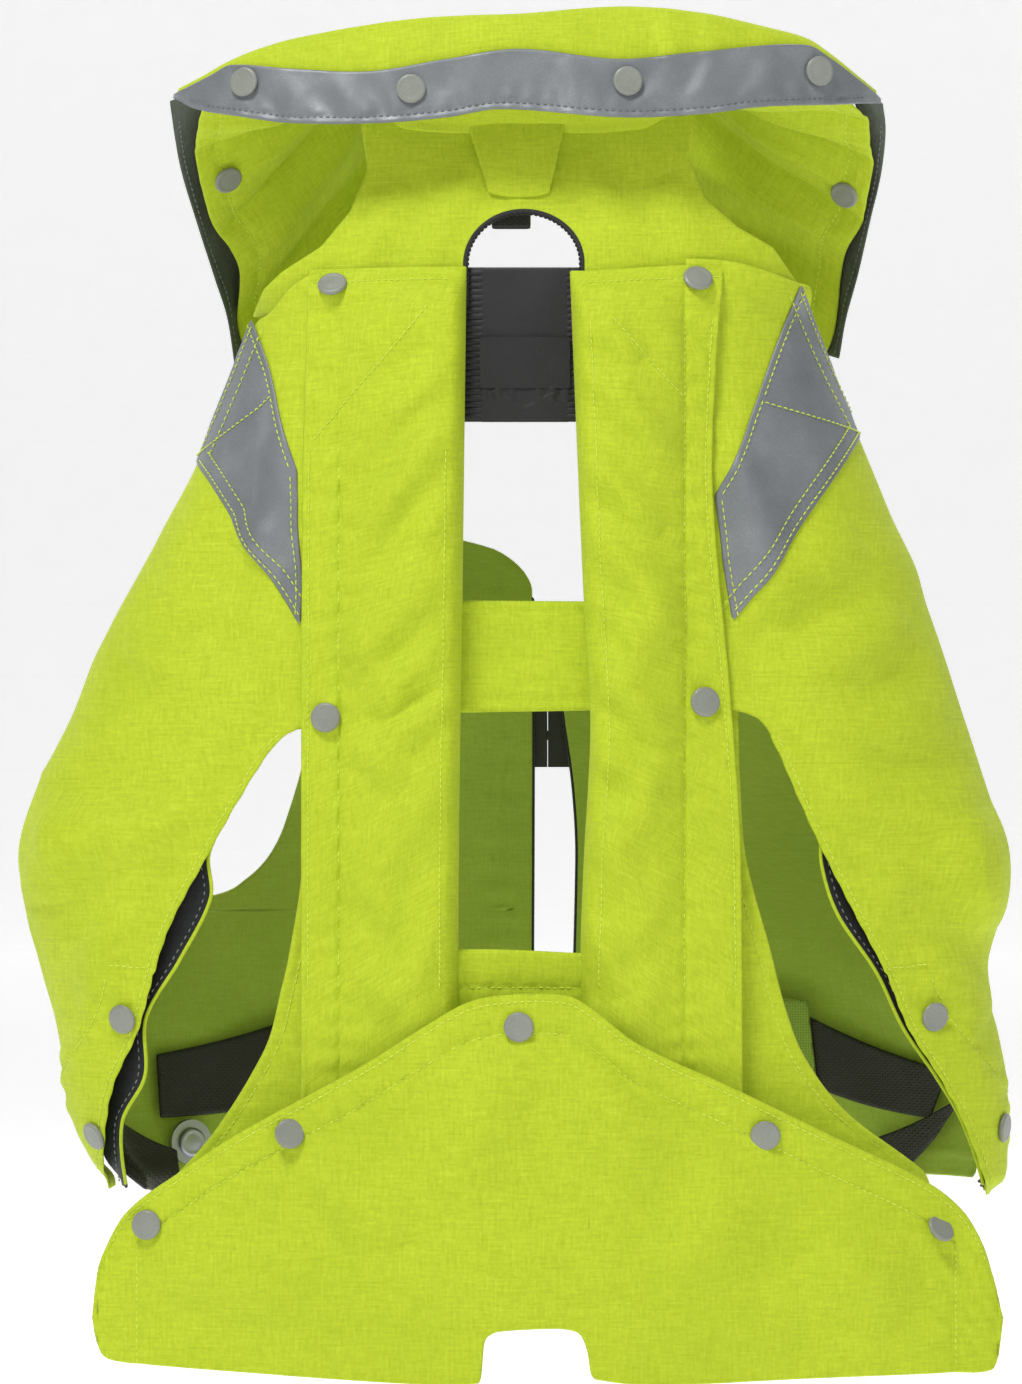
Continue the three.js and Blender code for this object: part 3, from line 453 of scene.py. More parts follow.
# The grey band's unprinted back, woven: coloured the dark olive grey it shows in the collar's own shade, which is
# painted shade.
GREY_BACK_PAINTED_SHADE = woven("polyester_grey_woven_back_painted_shade", "#454A42", "#63685E", "#3A3F38", 0.0010, 0.7, 0.1, bump=0.2, tint="#8A8F86")
# Black polyester lining, plain woven: nearly matt, slightly bluish in light. Threads 0.35 mm, drawn 1 mm.
LINING = woven("polyester_lining_black", "#121314", "#232426", "#0C0D0D", 0.0010, 0.66, 0.25, bump=0.3, tint="#6F757A")


def retroreflective():
    """Glass-bead cloth: a smooth silver-grey coating on fabric, with a fine bead sparkle and faint creases."""
    m = material("glass_bead_cloth_coated")
    uv = (add(m, "UVMap", {"uv_map": "cloth"}), 0)
    place = (add(m, "TexCoord"), 3)
    beads = add(m, "TexVoronoi", i0=uv, Scale=2400.0)
    cloud = add(m, "TexNoise", i0=place, Scale=26.0, Detail=5.0, Roughness=0.6)
    tone = math(m, "ADD", math(m, "MULTIPLY", (cloud, 0), 0.8), math(m, "MULTIPLY", (beads, 0), 0.3))
    colour = ramp(m, tone, [(0.30, "#6C7073"), (0.62, "#818588"), (0.85, "#96999C")])
    scuff = add(m, "TexNoise", i0=uv, Scale=90.0, Detail=6.0, Roughness=0.75)
    height = math(m, "ADD", math(m, "MULTIPLY", (beads, 0), 0.4), math(m, "MULTIPLY", (scuff, 0), 0.8))
    bumped = add(m, "Bump", Strength=0.22, Distance=0.0004, Height=height)
    rough = (add(m, "MapRange", i0=(scuff, 0), i1=0.3, i2=0.7, i3=0.42, i4=0.58), 0)
    return finished(m, add(m, "BsdfPrincipled", Base_Color=(colour, 0), Metallic=0.25, Roughness=rough,
                           Normal=(bumped, 0)))


# Glass beads in a grey binder on cloth: even mid grey by day, silkier than the yellow. Beads are 0.06 mm, drawn 0.4.
REFLECTIVE = retroreflective()


def webbing(name, dark, light, rib, roughness, sheen=0.3):
    """Narrow woven tape: ribs across its width, rib apart, and a fine warp along it."""
    m = material(name)
    uv = (add(m, "UVMap", {"uv_map": "cloth"}), 0)
    ribs, parts = weave_height(m, uv, rib)
    yarn = add(m, "TexNoise", i0=uv, Scale=700.0, Detail=3.0, Roughness=0.7)
    tone = math(m, "ADD", math(m, "MULTIPLY", ribs, 0.5), math(m, "MULTIPLY", (yarn, 0), 0.5))
    colour = ramp(m, tone, [(0.25, dark), (0.8, light)])
    bumped = add(m, "Bump", Strength=0.5, Distance=0.0004, Height=math(m, "ADD", ribs, (yarn, 0)))
    return finished(m, add(m, "BsdfPrincipled", Base_Color=(colour, 0), Roughness=roughness, IOR=1.5,
                           Normal=(bumped, 0), Sheen_Weight=sheen, Sheen_Tint=linear("#8A8A88")))


# Knitted elastic binding and band: black, soft, ribbed 1.6 mm apart, with a dusty sheen.
ELASTIC = webbing("elastic_knitted_black", "#101010", "#303030", 0.0016, 0.8, 0.4)
# Polyamide webbing: black with a faint brown warmth, ribbed, a little glossier on its yarn tops.
WEBBING = webbing("polyamide_webbing_black", "#100F0D", "#2B2824", 0.0014, 0.55)
# Cut tape in drab olive-green, for the strap's anchor.
ANCHOR = webbing("polyamide_tape_olive", "#6E8A22", "#9BB548", 0.0014, 0.7, 0.1)


def plain_material(name, colour_low, colour_high, roughness, grain_scale, bump, metallic=0.0, coat=0.0, ior=1.5,
                   spread=0.05, stretch=(1, 1, 1), distance=0.0002):
    """A moulded or machined surface: two close tones in a grain, the same grain in roughness and relief."""
    m = material(name)
    place = (add(m, "Mapping", i0=(add(m, "TexCoord"), 3), Scale=stretch), 0)
    grain = add(m, "TexNoise", i0=place, Scale=grain_scale, Detail=5.0, Roughness=0.62)
    broad = add(m, "TexNoise", i0=place, Scale=60.0, Detail=3.0)
    tone = math(m, "ADD", math(m, "MULTIPLY", (grain, 0), 0.6), math(m, "MULTIPLY", (broad, 0), 0.4))
    colour = ramp(m, tone, [(0.35, colour_low), (0.65, colour_high)])
    rough = (add(m, "MapRange", i0=(grain, 0), i1=0.3, i2=0.7, i3=roughness - spread, i4=roughness + spread), 0)
    bumped = add(m, "Bump", Strength=bump, Distance=distance, Height=(grain, 0))
    shader = add(m, "BsdfPrincipled", Base_Color=(colour, 0), Roughness=rough, Metallic=metallic, Normal=(bumped, 0))
    if not metallic:
        shader.inputs["IOR"].default_value = ior
    shader.inputs["Coat Weight"].default_value = coat
    return finished(m, shader)


# Polyester thread, twisted: bright yellow, softly shining where it is drawn tight.
THREAD = plain_material("polyester_thread_yellow", "#C3D63A", "#DCEB5E", 0.5, 2600.0, 0.3)
THREAD_GREY = plain_material("polyester_thread_grey", "#5E6164", "#85888B", 0.5, 2600.0, 0.3)
THREAD_BLACK = plain_material("polyester_thread_black", "#18181A", "#303032", 0.5, 2600.0, 0.3)
# Acetal snap cap, moulded: warm light grey, satin, with a spark-eroded grain.
SNAP = plain_material("acetal_moulded_grey", "#7E8179", "#91948B", 0.42, 1500.0, 0.15, coat=0.1)
# ABS buckle parts, moulded: black, satin, fine grain.
BUCKLE = plain_material("acetal_moulded_black", "#141414", "#232323", 0.4, 1300.0, 0.25)
# Thermoplastic polyurethane film, welded: milky smoke grey and slick, with a slight draw.
FILM = plain_material("polyurethane_film_welded", "#5B6061", "#787E7F", 0.32, 300.0, 0.3, coat=0.3)
# Zinc-plated steel of the gas cylinder: pale, drawn lengthwise, softly mirroring.
STEEL = plain_material("steel_zinc_plated", "#B4B6B8", "#D0D2D4", 0.3, 900.0, 0.15, metallic=1.0)
# Anodised aluminium of the nut: lavender grey, bead blasted.
ANODISED = plain_material("aluminium_anodised_blasted", "#A7A7B8", "#BDBDCB", 0.42, 1800.0, 0.2, metallic=1.0)
# Acetal of the pull key: signal red, moulded, a little glossy.
RED = plain_material("acetal_moulded_red", "#A81512", "#C52320", 0.36, 1200.0, 0.15, coat=0.2)
# Thermoplastic rubber of the back band: charcoal, matt, embossed grain.
RUBBER = plain_material("rubber_moulded_charcoal", "#131314", "#1E1F1F", 0.62, 800.0, 0.45, distance=0.0004)

CAD_FINISHES = {"bladder": FILM, "snap_plastic": SNAP, "black_plastic": BUCKLE, "steel": STEEL, "anodised": ANODISED,
                "red_plastic": RED, "webbing": WEBBING, "yellow": BACKED_PAINTED_SHADE, "reflective": REFLECTIVE,
                "black_fabric": LINING, "elastic": ELASTIC}

# ---- Helpers for the vest's pieces ------------------------------------------------------------------


def field(columns, rows, left, right, low, high):
    """Grids of x and z: z runs from low(x share) to high(x share) and x from left(z) to right(z)."""
    u, v = np.meshgrid(columns if np.ndim(columns) else np.linspace(0, 1, columns),
                       rows if np.ndim(rows) else np.linspace(0, 1, rows))
    z = low(u) + v * (high(u) - low(u))
    return left(z) + u * (right(z) - left(z)), z


def level(value):
    return lambda x: np.full(np.shape(x), float(value))


def settle(piece, body, *nodes, finish=None, blend=None):
    """Hangs a piece on its body, or, when a blend is given, bakes its placing into its mesh and leaves it unparented;
    hides the nodes it stands for.
    """
    if blend:
        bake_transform(piece)
    else:
        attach(piece, body)
    if nodes:
        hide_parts(*nodes)
    return piece


def run_of(points):
    """Length in metres of each row of points in millimetres."""
    return np.linalg.norm(np.diff(points, axis=-2), axis=-1).sum(axis=-1) * 0.001


def cut_sheet(piece, points, flat=None):
    """Works out the size a sheet was cut to, the longest way each way across its grid, or takes `flat` where the grid
    runs askew to the cut. The size is not used further, and the piece is returned as it is."""
    flat = flat or (run_of(points).max(), run_of(points.swapaxes(0, 1)).max())
    return piece


def snap(name, centre, normal, body, node=None, stuff=None):
    """A moulded snap cap: a profile turned about its axis, from a low skirt over a rounded rim to a shallow dish
    with a faint dome in its middle."""
    profile = np.array([[0.0, -1.6], [5.2, -1.6], [6.6, -1.2], [7.2, -0.5], [7.75, 0.1], [7.95, 0.7], [7.8, 1.3],
                        [7.3, 1.75], [6.6, 1.98], [6.0, 1.95], [5.4, 1.84], [4.2, 1.9], [2.8, 2.02], [1.4, 2.1],
                        [0.0, 2.13]]) * (SNAP_RADIUS / 7.8, 1)
    turn = np.arange(40) * 2 * np.pi / 40
    radius, rise = profile[1:-1, 0], profile[1:-1, 1]
    ring = stacked(radius[:, None] * np.cos(turn), radius[:, None] * np.sin(turn), rise[:, None])
    points = np.concatenate([ring.reshape(-1, 3), [[0, 0, profile[0, 1]], [0, 0, profile[-1, 1]]]])
    rings, sides = len(radius), len(turn)
    i, j = np.meshgrid(np.arange(rings - 1), np.arange(sides), indexing="ij")
    a, b = (i * sides + j).ravel(), (i * sides + (j + 1) % sides).ravel()
    wall = np.stack([a, b, b + sides, a + sides], axis=1)
    k = np.arange(sides)
    after = (k + 1) % sides
    base = np.stack([np.full(sides, rings * sides), after, k], axis=1)
    top = np.stack([np.full(sides, rings * sides + 1), k + sides * (rings - 1), after + sides * (rings - 1)], axis=1)
    n = normal / np.linalg.norm(normal)
    across = np.cross((0.0, 0.0, 1.0), n)
    across /= np.linalg.norm(across)
    basis = np.stack([across, np.cross(n, across), n])
    piece = make_mesh(name, points @ basis + centre, [wall, base, top], stuff or SNAP)
    return settle(piece, body, *([node] if node else []), finish="snap_plastic")


def snap_on(name, surface, x, z, body, node=None, lift=1.6):
    """A snap set on a surface at x, z."""
    line, normal = line_on(surface, np.array([x, x]), np.array([z, z]), lift, count=2)
    out = normal[0] if normal[0] @ (line[0] * (1, 1, 0)) > 0 else -normal[0]
    return snap(name, surface(np.array([x]), np.array([z]))[0] + out * lift, out, body, node)


def tube(name, path, radius, stuff, sides=10):
    """A round cord along a path of points: rings square to the path, closed with a dome of one point at each end."""
    path = np.asarray(path, float)
    along = np.gradient(path, axis=0)
    along /= np.linalg.norm(along, axis=1, keepdims=True)
    up = np.cross(along, (0.31, 0.52, 0.79))
    up /= np.linalg.norm(up, axis=1, keepdims=True)
    side = np.cross(along, up)
    turn = np.arange(sides) * 2 * np.pi / sides
    ring = path[:, None] + radius * (np.cos(turn)[:, None] * up[:, None] + np.sin(turn)[:, None] * side[:, None])
    rows = len(path)
    points = np.concatenate([ring.reshape(-1, 3), [path[0] - along[0] * radius, path[-1] + along[-1] * radius]])
    i, j = np.meshgrid(np.arange(rows - 1), np.arange(sides), indexing="ij")
    a, b = (i * sides + j).ravel(), (i * sides + (j + 1) % sides).ravel()
    k = np.arange(sides)
    after = (k + 1) % sides
    faces = [np.stack([a, b, b + sides, a + sides], axis=1),
             np.stack([np.full(sides, rows * sides), after, k], axis=1),
             np.stack([np.full(sides, rows * sides + 1), k + sides * (rows - 1), after + sides * (rows - 1)], axis=1)]
    run = np.concatenate([[0], np.cumsum(np.linalg.norm(np.diff(path, axis=0), axis=1))])
    uv = np.stack(np.broadcast_arrays(run[:, None], (turn * radius)[None]), axis=-1).reshape(-1, 2)
    return make_mesh(name, points, faces, stuff, np.concatenate([uv, [[0, 0], [run[-1], 0]]]))


SIDES = {"left": -1, "right": 1}

# ---- The base of the back: two strips, a foot below the slot, cross bands and yoke -------------------

base_edge = {
    -1: through([[97, -183], [119, -163], [137, -150], [155, -139], [173, -130], [197, -124], [214, -120], [260, -113],
                 [328, -112], [400, -107], [546, -107]]),
    1: through([[97, 208], [105, 203], [135, 164], [164, 142], [190, 132], [217, 125], [266, 112], [305, 109],
                [345, 108], [400, 106], [546, 105]]),
}
slot_edge = {-1: through([[100, -34], [218, -34.6], [300, -34], [400, -32.5], [567, -30.5]]),
             1: through([[100, 29], [218, 29], [262, 30.5], [335, 34], [400, 30.5], [480, 27], [567, 23.5]])}


def base_depth(x, z):
    hem = np.abs(x - np.where(x < 0, base_edge[-1](z), base_edge[1](z)))
    return 1.6 + rumple(x, z, 3, 60, 0.7) + seam_dent(hem - 6, z, 0.8, 0.5)


for side_name, side in SIDES.items():
    x, z = field(44, 190, base_edge[side], slot_edge[side], level(97), level(546))
    if side > 0:
        x = x[:, ::-1]
    points = on_back(x, z, base_depth(x, z))
    strip = cloth(f"back_base_strip_{side_name}", points, YELLOW)
    settle(strip, "vest", *(["back_base_panel"] if side < 0 else []), finish="yellow")
    cut_sheet(strip, points)
    z_line = np.linspace(100, 540, 200)
    settle(stitches(f"base_hem_stitches_{side_name}",
                    [line_on(lambda a, b: on_back(a, b, base_depth(a, b)), base_edge[side](z_line) - side * 6.0,
                             z_line, 0.95)], THREAD), "vest")


def foot_depth(x, z):
    return 3.6 + 2.2 * smooth(z, 150, 216) + rumple(x, z, 5, 40, 0.8) + seam_dent(z - 200, x, 0.9, 0.6)


x, z = field(70, 50, level(-62), level(58), level(120), lambda u: 217.5 + 1.2 * np.sin(u * 5))
points = on_back(x, z, foot_depth(x, z))
foot = cloth("slot_foot_panel", points, YELLOW, 1.8)
settle(foot, "vest", finish="yellow")
cut_sheet(foot, points)
x_line = np.linspace(-32, 28, 40)
settle(stitches("slot_foot_stitches", [line_on(lambda a, b: on_back(a, b, foot_depth(a, b)), x_line,
                                              np.full(40, 200.0), 1.05)], THREAD), "vest")


def band_depth(x, z):
    return -2.2 + rumple(x, z, 8, 30, 0.5) + seam_dent(z - 391, x, 0.6, 0.3, 9) + seam_dent(z - 346, x, 0.6, 0.3, 9)


x, z = field(56, 34, level(-44), level(44), lambda u: 340.5 + 1.5 * u, lambda u: 396 - 0.6 * u)
points = on_back(x, z, band_depth(x, z))
cross_band = cloth("middle_cross_band", points, YELLOW, 2.0)
settle(cross_band, "vest", "middle_cross_band", finish="yellow")
cut_sheet(cross_band, points)


def rubber_band_depth(x, z):
    """The black band's relief: three moulded ribs below, a shallow diamond ridge, and ribbed edges."""
    ribs = sum(bell(np.abs(x) - c, 1.7) for c in (7, 14, 21)) * (smooth(z, 497, 500) - smooth(z, 508, 511))
    lattice = bell(np.abs(x) * 0.55 + np.abs(z - 503) - 9, 1.0) * (z < 517)
    ends = 0.35 * np.sin(z * 2 * np.pi / 3.2) * (np.abs(x) > 22)
    return -1.6 + 0.7 * ribs + 0.5 * lattice + ends + rumple(x, z, 9, 30, 0.4)


x, z = field(120, 130, lambda z: -42 + 0.6 * np.sin(z / 3.1), lambda z: 42 + 0.6 * np.sin(z / 2.7),
             level(489), level(566))
points = on_back(x, z, rubber_band_depth(x, z))
rubber = cloth("upper_back_band", points, RUBBER, 2.4)
settle(rubber, "vest", "upper_cross_band", finish="black_fabric")
cut_sheet(rubber, points)


def ruled(inner, outer, across, along):
    """A grid between two contours, point for point, with `along` points on them and `across` rows between."""
    def even(line, count):
        step = np.concatenate([[0], np.cumsum([s for _, _, s in line])])
        at = np.linspace(0, step[-1], count)
        return np.stack([np.interp(at, step, [p[k] for p in line] + [line[-1][k]]) for k in (0, 1)], axis=1)
    a, b = even(inner, along), even(outer, along)
    w = np.linspace(0, 1, across)[:, None, None]
    return a * (1 - w) + b * w


def contour(*corners):
    """Corners (x, z, share): the share is how much of the way round is spent on the stretch that starts there."""
    return list(corners)


turn = np.linspace(np.pi, 0, 25)
arch_points = [(30.5 * np.cos(t) - 0.5, 569 + 27.5 * np.sin(t), 0.5 / 24) for t in turn[:-1]]
inner_line = contour((-31, 546, 0.25), *arch_points, (30, 569, 0.25), (29, 546, 0.0))
outer_line = contour((-140, 545, 0.04), (-134, 557, 0.04), (-125, 565, 0.06), (-104, 578, 0.06), (-89, 596, 0.06),
                     (-80, 618, 0.04), (-84, 647, 0.34), (86, 647, 0.05), (83, 624, 0.06), (92, 603, 0.06),
                     (109, 588, 0.06), (127, 578, 0.06), (140, 560, 0.07), (142, 546, 0.0))
yoke_map = ruled(inner_line, outer_line, 46, 220)


def yoke_depth(x, z):
    creases = folds(x, z, [(-60, 560, -20, 630, 7, 1.2), (60, 565, 25, 628, 7, 1.1), (-95, 560, -60, 610, 8, 1.4),
                           (95, 565, 66, 612, 8, 1.4), (-10, 604, 12, 640, 5, 0.8)])
    return 3.4 + 1.8 * creases + rumple(x, z, 12, 50, 1.3)


points = on_back(yoke_map[..., 0], yoke_map[..., 1], yoke_depth(yoke_map[..., 0], yoke_map[..., 1]))[:, ::-1]
yoke = cloth("yoke_panel", points, YELLOW, uv=yoke_map[:, ::-1])
settle(yoke, "vest", "yoke_panel", finish="yellow")
wide, high = np.linspace(-140, 142, 200), np.linspace(545, 647, 100)
cut_sheet(yoke, points,
          flat=(run_of(on_back(wide, 545 + 0 * wide, 3.4)), run_of(on_back(0 * high, high, 3.4))))


def yoke_surface(x, z):
    return on_back(x, z, yoke_depth(x, z))


def keyhole(step, out):
    """Points round the keyhole, `out` away from its edge: up one side, over the arch and down the other."""
    side_z = np.arange(548, 569, step)
    bend = np.linspace(np.pi, 0, int(86 / step))
    x = np.concatenate([np.full(len(side_z), -31 - out), (30.5 + out) * np.cos(bend) - 0.5,
                        np.full(len(side_z), 30 + out)])
    z = np.concatenate([side_z, 569 + (27.5 + out) * np.sin(bend), side_z[::-1]])
    return x, z


edge_x, edge_z = keyhole(0.5, -0.6)
binding_path = yoke_surface(edge_x, edge_z)
binding = tube("keyhole_binding", binding_path, 1.35, ELASTIC)
settle(binding, "vest", finish="elastic")
picot_line = yoke_surface(*keyhole(0.5, -1.7))
picot_facing = np.tile((0.0, -1.0, 0.0), (len(picot_line), 1))
settle(stitches("keyhole_picots", [(picot_line, picot_facing)], ELASTIC, gap=2.5, length=2.4, radius=0.85), "vest")

x, z = field(30, 26, lambda z: np.interp(z, [604, 644], [-17.5, -29.5]), lambda z: np.interp(z, [604, 644], [11.5, 20.5]),
             lambda u: 604 + 2.0 * np.abs(2 * u - 1) ** 3, level(646))
tab_depth = 5.6 + 1.5 * smooth(z, 604, 622) + rumple(x, z, 14, 22, 0.5)
points = on_back(x, z, tab_depth)
tab = cloth("yoke_tab", points, YELLOW, 1.6)
settle(tab, "vest", "yoke_tab", finish="yellow")
cut_sheet(tab, points)

x, z = field(18, 12, level(-16), level(2), level(588), level(601))
points = on_back(x, z, -3.0 + 0 * x)
loop = cloth("neck_hanging_loop", points, WEBBING, 2.0)
settle(loop, "vest", finish="webbing")
cut_sheet(loop, points)

# ---- The two padded back covers -----------------------------------------------------------------------

cover_edge = {-1: through([[100, -113], [330, -113], [470, -112.5], [567, -110]]),
              1: through([[100, 110], [270, 109], [346, 104], [453, 95], [520, 97], [567, 101]])}
cover_top = {-1: through([[0, 567], [110, 566]]), 1: through([[0, 563], [101, 569]])}
cover_foot = {-1: lambda x: 176 - 0.66 * np.clip(np.abs(x) - 30, 0, 90), 1: lambda x: 178 - 0.66 * np.clip(np.abs(x) - 25, 0, 90)}
topstitch = {-1: -94.0, 1: 81.0}
cover_folds = {
    -1: [(-36, 520, -70, 488, 6, 1.6), (-35, 488, -86, 430, 7, 2.2), (-36, 452, -72, 398, 6, 1.9),
         (-34, 420, -95, 362, 8, 2.4), (-38, 378, -80, 338, 6, 1.8), (-92, 388, -58, 330, 8, 1.9),
         (-38, 345, -74, 322, 5, 2.3), (-88, 330, -60, 302, 6, 2.0), (-36, 312, -84, 250, 8, 1.8),
         (-90, 262, -62, 230, 6, 1.4), (-40, 262, -56, 196, 7, 2.0), (-92, 225, -66, 186, 7, 1.3),
         (-60, 548, -88, 520, 7, 1.2), (-78, 215, -44, 172, 8, 1.2)],
    1: [(33, 540, 60, 520, 6, 1.4), (30, 520, 78, 470, 7, 1.9), (32, 470, 70, 432, 6, 2.2), (34, 440, 80, 380, 8, 2.4),
        (36, 402, 62, 372, 5, 1.6), (78, 410, 48, 352, 8, 1.9), (38, 360, 76, 330, 6, 2.2), (36, 322, 70, 300, 6, 1.8),
        (78, 318, 44, 268, 8, 1.6), (34, 290, 60, 240, 7, 2.0), (78, 262, 50, 214, 7, 1.5), (34, 240, 50, 196, 6, 1.8),
        (66, 550, 84, 516, 7, 1.1), (74, 214, 46, 176, 8, 1.2)],
}


def cover_share(x, z, side):
    """0 at the slot's edge and 1 at the outer edge of a back cover."""
    return (x - slot_edge[side](z)) / (cover_edge[side](z) - slot_edge[side](z))


def cover_height(x, z, side):
    """Depth of a cover's face: a tube sin^0.8 high from the slot to the topstitching, and a flat hem past it, less
    full at its foot, with folds that run down and out from the tube."""
    s = np.clip(cover_share(x, z, side), 0, 1)
    crease = (topstitch[side] - slot_edge[side](z)) / (cover_edge[side](z) - slot_edge[side](z))
    tube_rise = np.sin(np.pi * np.clip(0.18 + 0.82 * s / crease, 0, 1)) ** 0.8
    fullness = (0.42 + 0.58 * smooth(z, 172, 290)) * (1 - 0.6 * smooth(z, 538, 566))
    inside = 1 - smooth(s, crease - 0.06, crease + 0.05)
    creases = 1.9 * folds(x, z, cover_folds[side]) * inside * (1 - smooth(z, 545, 562))
    seam = seam_dent(x - topstitch[side], z, 1.0, 0.7) * (1 - smooth(z, 470 if side < 0 else 545, 500 if side < 0 else 560))
    hem = seam_dent(x - cover_edge[side](z) + side * 3.0, z, 0.5, 0.5, 17)
    top = seam_dent(z - cover_top[side](np.abs(x)) + 7.0, x, 0.7, 0.5, 15)
    ripple = 0.55 * np.sin(z * 2 * np.pi / 29 + x * 0.11) * (1 - inside) * smooth(z, 170, 230)
    face = (12.4 + 10.0 * tube_rise * fullness + creases * (0.8 + 0.5 * tube_rise) + seam + hem + top + ripple
            + rumple(x, z, 20 + side, 46, 1.1) * inside)
    closing = smooth(z, cover_top[side](np.abs(x)) - 13, cover_top[side](np.abs(x)) + 1)
    return face - (face - 6.6) * closing


def cover_surface(side):
    return lambda x, z: on_back(x, z, cover_height(x, z, side))


for side_name, side in SIDES.items():
    roll = np.linspace(0, 1, 13)[:-1]
    share = np.linspace(0, 1, 92)
    rows = np.linspace(0, 1, 330)
    low, high = cover_foot[side], cover_top[side]
    q = np.concatenate([np.full(12, -1.0), share])
    v = rows[:, None]
    guess = slot_edge[side](v * 390 + 176) + np.clip(q, 0, 1)[None] * (cover_edge[side](v * 390 + 176)
                                                                      - slot_edge[side](v * 390 + 176))
    z = low(guess) + v * (high(np.abs(guess)) - low(guess))
    inner, outer = slot_edge[side](z), cover_edge[side](z)
    rolled = np.concatenate([roll, np.ones(92)])[None] * np.pi / 2
    face_x = inner + side * 7.0 + np.clip(q, 0, 1)[None] * (outer - inner - side * 7.0)
    x = np.where(q[None] < 0, inner + side * 7.0 * (1 - np.cos(rolled)), face_x)
    face = cover_height(x, z, side)
    depth = np.where(q[None] < 0, 4.0 + (face - 4.0) * np.sin(rolled), face)
    points = on_back(x, z, depth)
    if side < 0:
        points = points[:, ::-1]
    cover = cloth(f"back_cover_{side_name}", points, YELLOW)
    hinge = np.array([side * 32.37, -113.16, 191.6])
    settle(cover, "vest", f"back_cover_{side_name}", finish="yellow",
           blend=(f"cover_{side_name}", hinge - (side * 3, 0, 0), hinge + (side * 9, 0, 0)))
    surface = cover_surface(side)
    z_long = np.linspace(200, 474 if side < 0 else 540, 240)
    lines = [line_on(surface, np.full(240, topstitch[side]), z_long, 0.9),
             line_on(surface, cover_edge[side](z_long) - side * 3.0, z_long, 0.9),
             line_on(surface, np.linspace(slot_edge[side](566) + side * 8, cover_edge[side](566) - side * 2, 60),
                     cover_top[side](np.linspace(30, 100, 60)) - 7.0, 0.9),
             line_on(surface, slot_edge[side](z_long) + side * 9.0, z_long, 0.9)]
    if side < 0:
        lines.append(line_on(surface, np.linspace(-49, -108, 60), np.linspace(547, 478, 60), 0.9))
    else:
        lines.append(line_on(surface, np.linspace(44, 80, 60), np.linspace(540, 500, 60), 0.9))
    settle(stitches(f"back_cover_stitches_{side_name}", lines, THREAD), f"cover_{side_name}")
    places = {-1: [("upper", -98, 557), ("middle", -101, 337)], 1: [("upper", 88, 566 - 6), ("middle", 91, 345)]}[side]
    for which, sx, sz in places:
        snap_on(f"snap_back_{which}_{side_name}_cap", surface, sx, sz, f"cover_{side_name}",
                f"snap_back_{which}_{side_name}")

# ---- The tail --------------------------------------------------------------------------------------------

tail_top = through([[-220, 31], [-218, 50], [-215, 62], [-203, 84], [-173, 107], [-146, 125], [-110, 145], [-81, 161],
                    [-51, 180], [-30, 192], [-12, 196], [21, 196], [34, 189], [56, 172], [105, 149], [154, 125],
                    [203, 101], [222, 86], [232, 70], [238, 52], [243, 31]])
tail_bottom = through([[-220, 30], [-218, 20], [-215, 13], [-208, 10], [-195, 9], [-130, 5], [-42, 0], [-25, 1],
                       [-23, 4], [-21.5, 20], [-18, 25.5], [-13, 27.5], [13, 29], [24, 28], [29, 25], [32.5, 16],
                       [34, 6], [37, 3], [66, 0], [144, 3], [217, 5], [238, 6], [241, 14], [243, 30]])
tail_folds = [(-110, 118, -60, 70, 12, 2.2), (-10, 168, -40, 90, 14, 2.0), (30, 170, 70, 96, 14, 1.8),
              (112, 112, 80, 50, 14, 2.0), (-190, 66, -110, 40, 12, 1.8), (150, 90, 190, 30, 14, 2.2),
              (-60, 60, 20, 40, 16, 1.2), (200, 62, 120, 40, 12, 1.6), (60, 40, 140, 22, 12, 1.4)]


def tail_seam(x, z):
    """Distance inside the tail's upper stitched line, which keeps 20 mm from the edge and turns down at the sides."""
    return np.minimum(tail_top(x) - 19 - z, np.minimum(x + 220 - 23, 243 - 24 - x))


def tail_depth(x, z):
    hem = np.minimum(tail_top(x) - z, np.minimum(x + 220, 243 - x))
    inside = tail_seam(x, z)
    below = smooth(inside, 0, 14)
    wave = 1.1 * np.sin(x * 2 * np.pi / 47 + 0.6) * bell(inside + 9, 9)
    return (20.0 + 5.0 * smooth(z, 105, 165) + 3.0 * bell(x / 120, 1) * below + soft_floor(2.9 * folds(x, z, tail_folds), -2.2) * below
            + seam_dent(inside, x + z, 1.1, 0.8, 15) + seam_dent(hem - 3, x + z, 0.5, 0.3, 11) + wave
            + rumple(x, z, 31, 70, 1.6))


def tail_surface(x, z):
    return on_tail(x, z, tail_depth(x, z))


